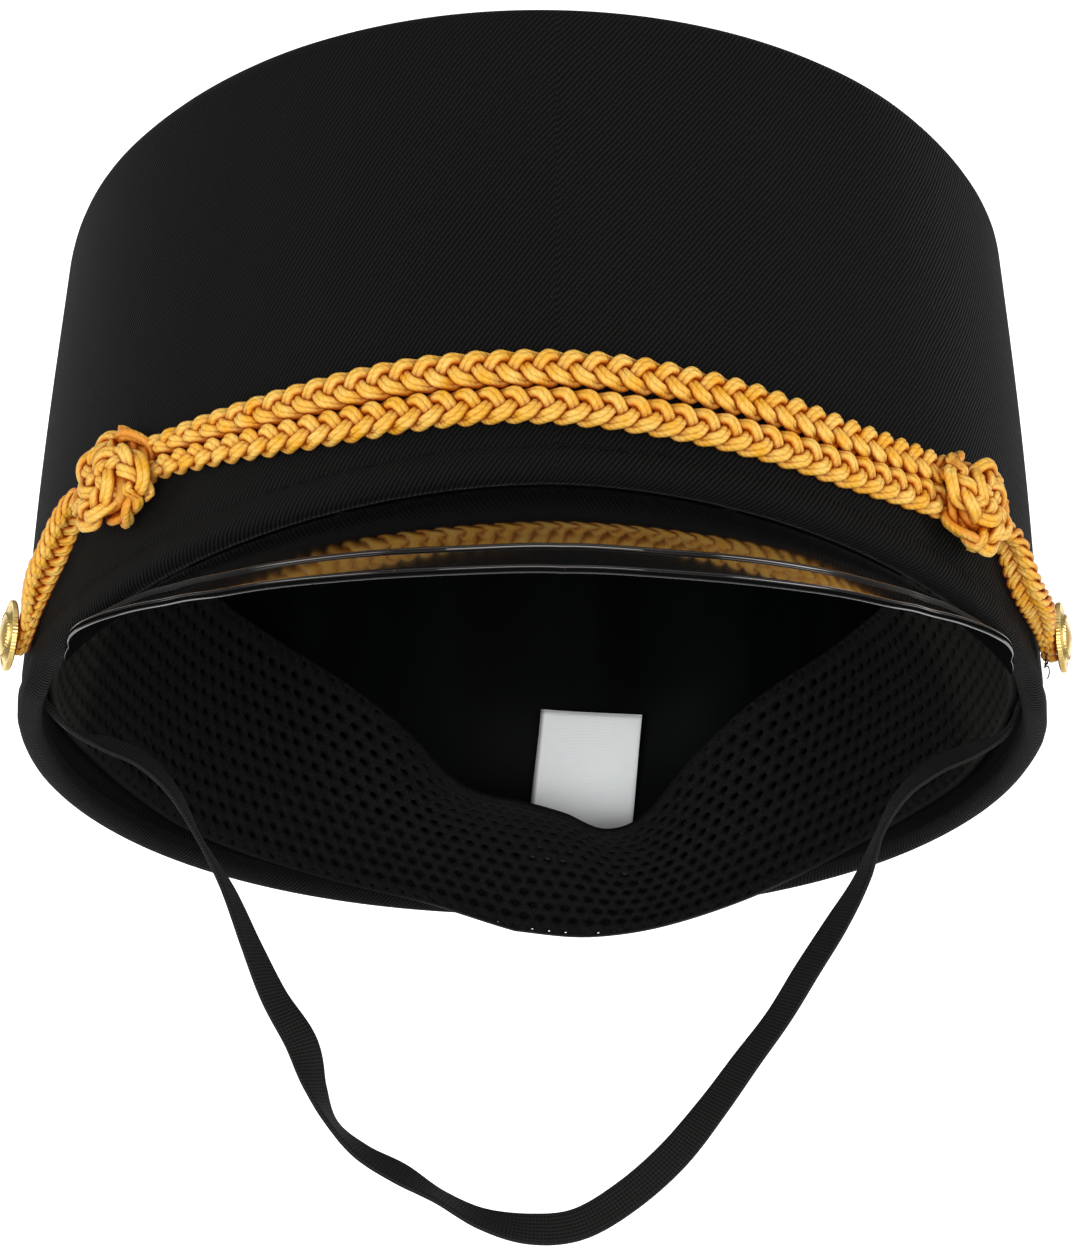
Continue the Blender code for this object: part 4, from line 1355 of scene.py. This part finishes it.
def make_peak(material):
    tip = math.radians(PEAK_TIP_POINT)
    angles = tip * np.sin(np.linspace(-np.pi / 2.0, np.pi / 2.0, 281))
    to_side = np.abs(angles) / tip
    root, level, dip, reach, ridge_share = peak_sheet(angles)
    full = reach / PEAK_REACH
    ridge = reach * ridge_share - RIDGE_INSET * full
    lip = (reach - ridge) * (1.0 - LIP_SHORTENING * full)
    to_tip = np.clip((1.0 - to_side) / PEAK_TIP_ROUND, 0.0, 1.0)
    closing = np.maximum(1.0 - (1.0 - to_tip) ** 2, 0.004) ** 0.6
    ridge = ridge * closing
    reach = ridge + lip * closing
    out, above, matt = peak_section(ridge, reach, 0.85 * smooth_step(0.80, 0.93, to_side))
    full = full[:, None]
    way = out / np.maximum(ridge, 0.0005)[:, None]
    bow = between_rows(BOW_TABLE, way.reshape(-1)).reshape(way.shape) * PEAK_BOW * full
    droop = np.sin(math.radians(LIP_DROOP) * full)
    above = above + bow * (way < 1.0) - np.maximum(out - ridge[:, None], 0.0) * droop
    cosine, sine = np.cos(dip)[:, None], np.sin(dip)[:, None]
    run = level * cosine - UP * sine
    normal = level * sine + UP * cosine
    points = root[:, None] + run[:, None] * out[..., None] + normal[:, None] * above[..., None]
    uv = texture_grid(lengths_along(root)[:, None] * PLACES_PER_METRE, matt)
    faces = tube_faces(len(angles), out.shape[1])
    peak = add_piece("patent_peak", points, faces, material, uv, sharp=50)
    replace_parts(peak, "peak")


# Braid, knots, braid ends and buttons

def plait(
    strands, centres, out, width, thickness, hand,
    pitch=PLAIT_PITCH, turns=None, thread=YARN_RADIUS, roundness=0.7, strand_count=3,
):
    """A plait of a few strands, each of two yarns, with a rounded face."""
    travelled = lengths_along(centres)
    if turns is not None:
        pitch = travelled[-1] / turns
    number = max(int(travelled[-1] / PLAIT_STEP), 40)
    at = np.linspace(0.0, travelled[-1], number)

    def follow(*rows):
        """Values given at the centres, read at the plait's own steps."""
        return np.array([np.interp(at, travelled, row) for row in rows])

    line = follow(*centres.T).T
    lift = unit(follow(*out.T).T)
    sizes = np.broadcast_arrays(width, thickness, travelled)[:2]
    half_width, half_height = follow(*sizes) / 2.0
    across = unit(np.cross(unit(np.gradient(line, axis=0)), lift))
    yarn = np.minimum(thread, half_width * 0.42)
    swing = np.maximum(half_width - yarn * 2.0, yarn * 0.95)
    weave = np.maximum((half_height - yarn) * 0.90, yarn * 0.9)
    for strand in range(strand_count):
        phase = FULL_TURN * (at / pitch + strand / strand_count)
        side = swing * (np.sin(phase) + 0.10 * np.sin(3.0 * phase)) / 0.90
        sideways = side / half_width
        rise = weave * hand * np.sin(2.0 * phase) - roundness * yarn * 1.3 * sideways ** 2
        middle = line + across * side[:, None] + lift * rise[:, None]
        heading = unit(np.gradient(middle, axis=0))
        face = unit(lift + across * (roundness * sideways)[:, None])
        beside = unit(np.cross(heading, face))
        for half in (-1.0, 1.0):
            wobble = 0.06 * np.sin(phase * 1.7 + strand * 2.0 + half)
            centre = middle + beside * (yarn * (YARN_SPREAD + wobble) * half)[:, None]
            strands.add(centre, yarn * YARN_SWELL, out=face, seed=strand * 3.1 + half)


def make_braids(material):
    radius = (RIM_HALF_WIDTH + RIM_FRONT) / 2.0
    stop = KNOT_ANGLE - math.degrees((KNOT_LENGTH / 2.0 + SEAM_GAP) / radius) + BRAID_OVERLAP
    turns = np.linspace(-stop, stop, 400)
    upper, lower, width = between_rows(BRAID_TABLE, turns).T
    angle = np.radians(turns)
    for name, node, height, hand in (
        ("gold_braid_upper", "braid_upper", upper, 1.0),
        ("gold_braid_lower", "braid_lower", lower, -1.0),
    ):
        height = BRAID_UPPER_HEIGHT + BRAID_SPACING * height
        centres = wall_at_height(angle, height, SEAM_GAP + BRAID_THICKNESS / 2.0)
        strands = Strands()
        plait(strands, centres, outward(angle), BRAID_WIDTH * width * 1.11, BRAID_THICKNESS, hand)
        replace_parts(strands.finish(name, material, "gold_yarn"), node)


def knot_height(side):
    return KNOT_HEIGHT - side * 0.13 * BRAID_SPACING


def button_height(side):
    return BUTTON_HEIGHT + side * BUTTON_TILT


def make_knot(name, node, side, material):
    """A round knot: the plait laid in crossing turns over a small core."""
    standoff = SEAM_GAP + KNOT_THICKNESS / 2.0
    centre, out, across = seat_on_wall(KNOT_ANGLE * side, knot_height(side), standoff)
    length = KNOT_LENGTH * (1.0 if side > 0 else KNOT_RIGHT_STRETCH)
    centre = centre - across * (length - KNOT_LENGTH) / 2.0
    round_wide, round_high = KNOT_ROUNDING
    t = np.linspace(0.0, FULL_TURN, 600)
    strands = Strands()
    for reach, spread, high, left_tilt, right_tilt, turns in KNOT_TABLE:
        ring = reach + spread * np.cos(3.0 * t)
        tilt = left_tilt if side > 0 else right_tilt
        x = ring * np.cos(2.0 * t + tilt) * (length / KNOT_DRAWN_SIZE[0])
        z = ring * np.sin(2.0 * t + tilt) * (KNOT_WIDTH / KNOT_DRAWN_SIZE[1])
        y = high * np.sin(3.0 * t)
        sag = x ** 2 / (2.0 * RIM_HALF_WIDTH)
        line = centre + across * x[:, None] + UP * z[:, None] + out * (y - sag)[:, None]
        lift_out = (y + np.where(y < 0.0, -0.0010, 0.0010)) / round_high ** 2
        lift = (across * x[:, None] + UP * z[:, None]) / round_wide ** 2 + out * lift_out[:, None]
        plait(strands, line, unit(lift), KNOT_PLAIT_WIDTH, KNOT_PLAIT_THICKNESS, 1.0, turns=turns)
    core = np.linspace(-1.0, 1.0, 25)
    swell = np.sqrt(np.maximum(1.0 - core ** 2, 0.02)) * KNOT_CORE_RADIUS
    line = centre + across * (core * KNOT_CORE_REACH)[:, None]
    strands.add(line, swell, sides=24, out=out, flatten=0.45)
    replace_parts(strands.finish(name, material, "gold_yarn"), node)


def make_braid_end(name, node, side, material):
    """The braid from a knot to its button, standing on its edge."""
    shares = np.linspace(0.20, 1.06, 160)
    right_drop, left_drop, stand, tall = between_rows(BRAID_END_TABLE, shares).T
    angle = np.radians(KNOT_ANGLE + (BUTTON_ANGLE - KNOT_ANGLE) * shares) * side
    start = knot_height(side)
    height = start + (button_height(side) - start) * (left_drop if side > 0 else right_drop)
    stand = BRAID_WIDTH * stand
    out = outward(angle)
    centres = wall_at_height(angle, height, SEAM_GAP + HEM_STANDOFF + stand / 2.0)
    centres = centres + np.cross(out, UP) * side * END_FORWARD
    along = unit(np.gradient(centres, axis=0))
    flat = unit(np.cross(out, along)) * side
    flat = np.where((flat @ UP)[:, None] > 0.0, -flat, flat)
    strands = Strands()
    plait(
        strands, centres, flat, stand * (1.26 + 0.04 * side), BRAID_WIDTH * tall * 0.92, side,
        pitch=END_PLAIT_PITCH, thread=END_YARN_RADIUS, roundness=0.4, strand_count=END_STRANDS,
    )
    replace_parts(strands.finish(name, material, "gold_yarn"), node)


def make_button(name, node, side, material):
    """A domed gilt button with a milled rim and a raised rope line."""
    under = BRAID_WIDTH * between_rows(BRAID_END_TABLE, 0.91)[0, 2]
    seat = SEAM_GAP + HEM_STANDOFF + under + SEAM_GAP
    centre, out, across = seat_on_wall(BUTTON_ANGLE * side, button_height(side), seat)
    turn = angles_round(BUTTON_COLUMNS)
    milled = 0.5 + 0.5 * np.cos(60.0 * turn)
    rings = []
    for share, level, mill in BUTTON_TABLE:
        rings.append((share + BUTTON_MILLING * mill * milled, np.full_like(turn, BUTTON_RIM * level)))
    for share in np.linspace(0.78, 0.04, 22):
        twist = 1.0 + 0.5 * np.cos(36.0 * turn + share * 60.0)
        rope = BUTTON_ROPE * np.exp(-((share - 0.62) / 0.03) ** 2) * twist
        level = BUTTON_RIM * 0.9 + BUTTON_DOME * (1.0 - (share / 0.80) ** 2)
        rings.append((np.full_like(turn, share), level + rope))
    shares, levels = np.array(rings).transpose(1, 0, 2)[..., None]
    around = across * np.cos(turn)[:, None] + UP * np.sin(turn)[:, None]
    points = centre + around * (BUTTON_DIAMETER / 2.0 * shares) + out * levels
    faces = tube_faces(len(rings), BUTTON_COLUMNS)
    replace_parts(add_piece(name, points, faces, material, sharp=45), node)


def make_thread_ends(material):
    """The sewing thread's loose ends below the button on the wearer's left."""
    base, out, across = seat_on_wall(BUTTON_ANGLE + 0.9, BUTTON_HEIGHT - 0.0035, 0.0010)
    strands = Strands()
    t = np.linspace(0.0, 1.0, 30)
    radii = np.interp(t, [0.0, 0.9, 1.0], [0.00013, 0.00011, 0.00005])
    for lean, drop, curl in THREAD_END_TABLE:
        line = (
            base
            + across * (lean * t + curl * np.sin(3.0 * t))[:, None]
            + UP * (drop * t ** 1.5 + 0.0006 * np.sin(5.0 * t))[:, None]
            + out * (0.0009 * np.sin(2.5 * t))[:, None]
        )
        strands.add(line, radii, sides=6, out=out)
    strands.finish("loose_thread_ends", material, "black_twill")


# Floor and light

def make_card(name, corners, material):
    """A flat card of the studio: its floor or its backdrop."""
    mesh = bpy.data.meshes.new(name)
    mesh.from_pydata(corners, [], [(0, 1, 2, 3)])
    mesh.materials.append(material)
    card = bpy.data.objects.new(name, mesh)
    bpy.context.scene.collection.objects.link(card)


def make_surroundings():
    world = bpy.data.worlds.new("studio")
    bpy.context.scene.world = world
    world.use_nodes = True
    sky = world.node_tree.nodes["Background"]
    sky.inputs["Color"].default_value = (1.0, 1.0, 1.0, 1.0)
    sky.inputs["Strength"].default_value = SKY_STRENGTH
    side, z = FLOOR_HALF_SIZE, FLOOR_LEVEL
    floor = [(-side, -side, z), (side, -side, z), (side, side, z), (-side, side, z)]
    make_card("studio_floor", floor, make_floor_material())
    x, y, low, high = BACKDROP_HALF_WIDTH, BACKDROP_PLACE, BACKDROP_FOOT, BACKDROP_TOP
    card = [(-x, y, low), (x, y, low), (x, y, high), (-x, y, high)]
    make_card("studio_backdrop", card, make_backdrop_material())
    for name, place, width, height, power in LIGHT_TABLE:
        data = bpy.data.lights.new(name, "AREA")
        data.shape = "RECTANGLE"
        data.size = width
        data.size_y = height
        data.energy = power
        ahead = unit(np.array(LIGHT_TARGET) - place)
        right = unit(np.cross(ahead, UP))
        put_facing(bpy.data.objects.new(name, data), place, right, np.cross(right, ahead), ahead)


def set_look():
    view = bpy.context.scene.view_settings
    view.view_transform = "Standard"
    view.look = "None"


def build():
    make_camera()
    weave = make_weave_group()
    twill = make_twill(weave)
    thread = make_thread()
    yarn = make_yarn()
    gilt = make_gilt()
    make_strap(make_elastic())
    make_crown(twill)
    make_hem_stitches(thread)
    make_crown_top(twill)
    make_lining(make_lining_cloth(weave))
    make_net_band(make_net(weave))
    make_backing_tape(twill)
    make_label(make_satin(weave))
    make_peak(make_patent())
    make_braids(yarn)
    for word, side in (("left", 1.0), ("right", -1.0)):
        make_knot("gold_knot_" + word, "knot_" + word, side, yarn)
        make_braid_end("gold_braid_end_" + word, "braid_end_" + word, side, yarn)
        make_button("gilt_button_" + word, "button_" + word, side, gilt)
    make_thread_ends(thread)
    make_surroundings()
    set_look()


build()
